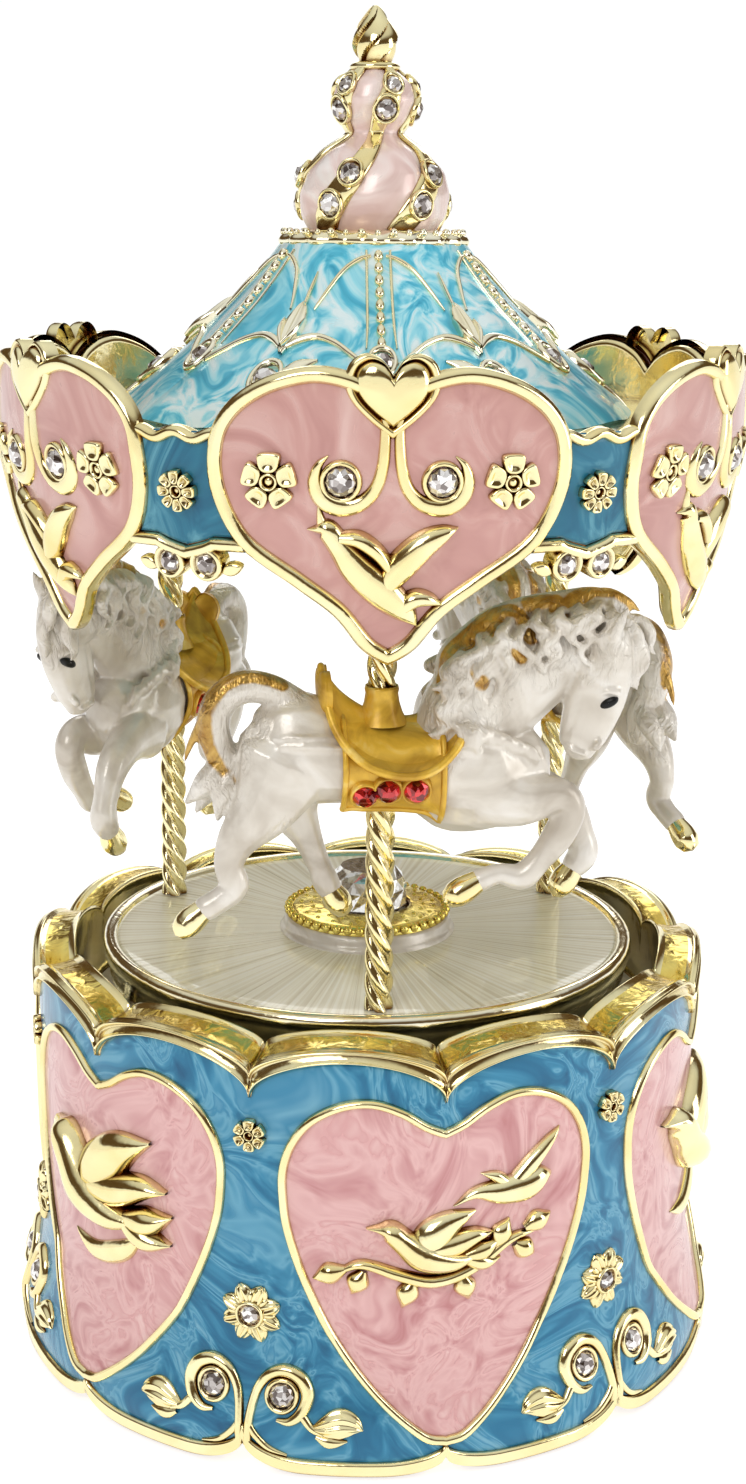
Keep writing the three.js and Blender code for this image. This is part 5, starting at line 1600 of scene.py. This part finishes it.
def blanket(shape):
    turn = np.linspace(math.radians(-149), math.radians(149), 61)
    rows = []
    for t in np.linspace(0, 1, 21):
        x = -4.7 + 11.0 * t
        middle, wide, deep = torso_at(x)
        hem = 0.26 * max(0.0, abs(2 * t - 1) * 6 - 5)
        lift = 0.42 + hem + 0.12 * np.sin(5 * turn + 3 * t)
        low = 1 + 0.03 * math.sin(7 * t)
        out = -(wide + lift) * np.sin(turn * low)
        up = middle + (deep + lift) * np.cos(turn * low)
        rows.append(np.stack([np.full(61, x), out, up], 1))
    rows = np.array(rows)
    shape.grid(rows[:, ::-1])
    for edge in (rows[0], rows[-1]):
        tube(shape, [(*p, 0.36, 0.36) for p in edge[::3]], sides=8, steps=3, side=(1, 0, 0))
    for edge in (rows[:, 0], rows[:, -1]):
        tube(shape, [(*p, 0.4, 0.4) for p in edge[::2]], sides=8, steps=3)


RED_STONES = ((-2.5, 78.6, 1.45), (0.0, 79.2, 1.5), (3.2, 79.2, 1.5))


def ruby_shapes():
    cups, stones = Shape(), Shape()
    for side in (1, -1):
        def flank(u, v, h=0.0):
            u, v, h = np.broadcast_arrays(np.asarray(u, float), np.asarray(v, float), np.asarray(h, float))
            middle, wide, deep = torso_at(u * side)
            slope = np.sqrt(np.clip(1 - ((v - middle) / (deep + 0.5)) ** 2, 0.02, 1))
            return np.stack([u * side, -side * ((wide + 0.5) * slope + h * 0.85), v - h * 0.5], -1)
        for x, z, radius in RED_STONES:
            bezel(cups, flank, x * side, z, radius + 0.05, 0.5, 0.55, lift=0.1)
            gem(stones, flank, x * side, z, radius, lift=0.45, sides=10, tall=0.6)
    return cups, stones


def build_horses():
    body = remeshed("horse", horse_shape(), 0.26, 3)
    gild(body)
    hoof_mesh = mesh_of("hooves", hooves())
    eye_mesh = mesh_of("eyes", eyes())
    saddle_mesh = mesh_of("saddle", saddle_shape())
    cups, stones = ruby_shapes()
    cup_mesh = mesh_of("cups", cups)
    stone_mesh = mesh_of("stones", stones)
    for number, angle in enumerate(HORSE_ANGLES, 1):
        stand(f"pearl_horse_{number}", body, PEARL, angle, [f"horse_{number}"])
        stand(f"horse_hooves_{number}", hoof_mesh, GOLD, angle)
        stand(f"horse_eyes_{number}", eye_mesh, BLACK, angle)
        stand(f"saddle_ochre_{number}", saddle_mesh, OCHRE, angle, [f"saddle_{number}"])
        stand(f"saddle_cups_{number}", cup_mesh, OCHRE, angle)
        stand(f"saddle_rubies_{number}", stone_mesh, RUBY, angle, smooth=False)


# ---------------------------------------------------------------- carried-over parts

METALS = {"zinc": ZINC, "brass": BRASS, "steel": STEEL, "blued_steel": BLUED, "gold_plate": GOLD,
          "pearl_enamel": PEARL, "old_gold": OCHRE, "crystal": CRYSTAL, "pink_enamel": PINK,
          "blue_enamel": BLUE,
          "sky_enamel": SKY, "cream_enamel": DIAL}


def paint_frame():
    slots = {part["node"]: part["material_slot"] for part in frame["record"]["subparts"]}
    for name, node in frame["nodes"].items():
        node.data.materials.clear()
        node.data.materials.append(METALS[slots[name]])


# ---------------------------------------------------------------- camera, light and floor

CAMERA_AZIMUTH = math.radians(12.36)
CAMERA_PITCH = math.radians(13.68)
CAMERA_ROLL = math.radians(0.557)
CAMERA_AWAY = 0.25987  # metres from the axis, then aside and up
CAMERA_ASIDE = 0.00054
CAMERA_HEIGHT = 0.13938
CAMERA_LENS = 51.03


def build_camera():
    camera = linked("camera", bpy.data.cameras.new("camera"))
    bpy.context.scene.camera = camera
    camera.data.sensor_fit = "VERTICAL"
    camera.data.sensor_height = 36.0
    camera.data.lens = CAMERA_LENS
    camera.data.clip_start = 0.01
    camera.data.clip_end = 20.0
    ahead = Vector((math.sin(CAMERA_AZIMUTH), math.cos(CAMERA_AZIMUTH), 0))
    side = Vector((math.cos(CAMERA_AZIMUTH), -math.sin(CAMERA_AZIMUTH), 0))
    camera.location = -ahead * CAMERA_AWAY + side * CAMERA_ASIDE + Vector((0, 0, CAMERA_HEIGHT))
    look = ahead * math.cos(CAMERA_PITCH) - Vector((0, 0, math.sin(CAMERA_PITCH)))
    turned = look.to_track_quat("-Z", "Y").to_matrix().to_4x4() @ Matrix.Rotation(CAMERA_ROLL, 4, "Z")
    camera.matrix_world = Matrix.Translation(camera.location) @ turned


# Name, place, width, height and watts of each lamp; all of them face the middle of the box.
LIGHTS = (("key", (-0.35, -0.45, 0.5), 0.3, 0.3, 1.25), ("fill", (0.55, -0.3, 0.25), 0.25, 0.4, 0.95),
          ("back", (0.15, 0.5, 0.4), 0.4, 0.25, 0.7))
LIGHT_TARGET = Vector((0, 0, 0.08))
FLOOR_HALF = 3.0


def build_lights():
    for name, place, width, height, watts in LIGHTS:
        lamp = linked(name, bpy.data.lights.new(name, "AREA"))
        lamp.data.shape = "RECTANGLE"
        lamp.data.size = width
        lamp.data.size_y = height
        lamp.data.energy = watts
        lamp.location = place
        lamp.rotation_euler = (LIGHT_TARGET - Vector(place)).to_track_quat("-Z", "Y").to_euler()


def build_world():
    """White near the horizon, dark brown above it for the gold to reflect, and grey overhead."""
    world = bpy.data.worlds.new("studio")
    bpy.context.scene.world = world
    world.use_nodes = True
    nodes = world.node_tree.nodes
    links = world.node_tree.links
    background = nodes["Background"]
    place = nodes.new("ShaderNodeTexCoord").outputs["Generated"]
    parts = nodes.new("ShaderNodeSeparateXYZ")
    links.new(place, parts.inputs[0])
    ramp = nodes.new("ShaderNodeValToRGB")
    links.new(parts.outputs["Z"], ramp.inputs["Fac"])
    white = (1.02, 1.02, 1.01)
    brown = (0.10, 0.06, 0.025)
    stops = [(0.0, white), (0.15, white), (0.19, brown), (0.52, brown), (0.68, (0.62, 0.62, 0.61)),
             (1.0, (0.85, 0.85, 0.84))]
    fill_ramp(ramp.color_ramp, stops)
    links.new(ramp.outputs["Color"], background.inputs["Color"])
    background.inputs["Strength"].default_value = 1.0


def build_floor():
    size = FLOOR_HALF
    mesh = bpy.data.meshes.new("floor")
    mesh.from_pydata([(-size, -size, 0), (size, -size, 0), (size, size, 0), (-size, size, 0)], [],
                     [(0, 1, 2, 3)])
    floor = linked("floor", mesh)
    paint = Paint("floor_paper", Roughness=0.6)
    paint.wire("Base Color", paint.ramp(paint.noise(4, 3),
                                        [(0.3, (0.48, 0.48, 0.475)), (0.7, (0.52, 0.52, 0.515))]))
    paint.shader.inputs["Emission Color"].default_value = (1, 1, 1, 1)
    paint.shader.inputs["Emission Strength"].default_value = 0.8
    mesh.materials.append(paint.material)
    floor.location.z = -0.0002
    bpy.context.scene.view_settings.view_transform = "Standard"


build_camera()
build_world()
build_lights()
build_floor()
paint_frame()
build_base()
build_turntable()
build_hub()
build_poles()
build_horses()
build_canopy()
build_finial()
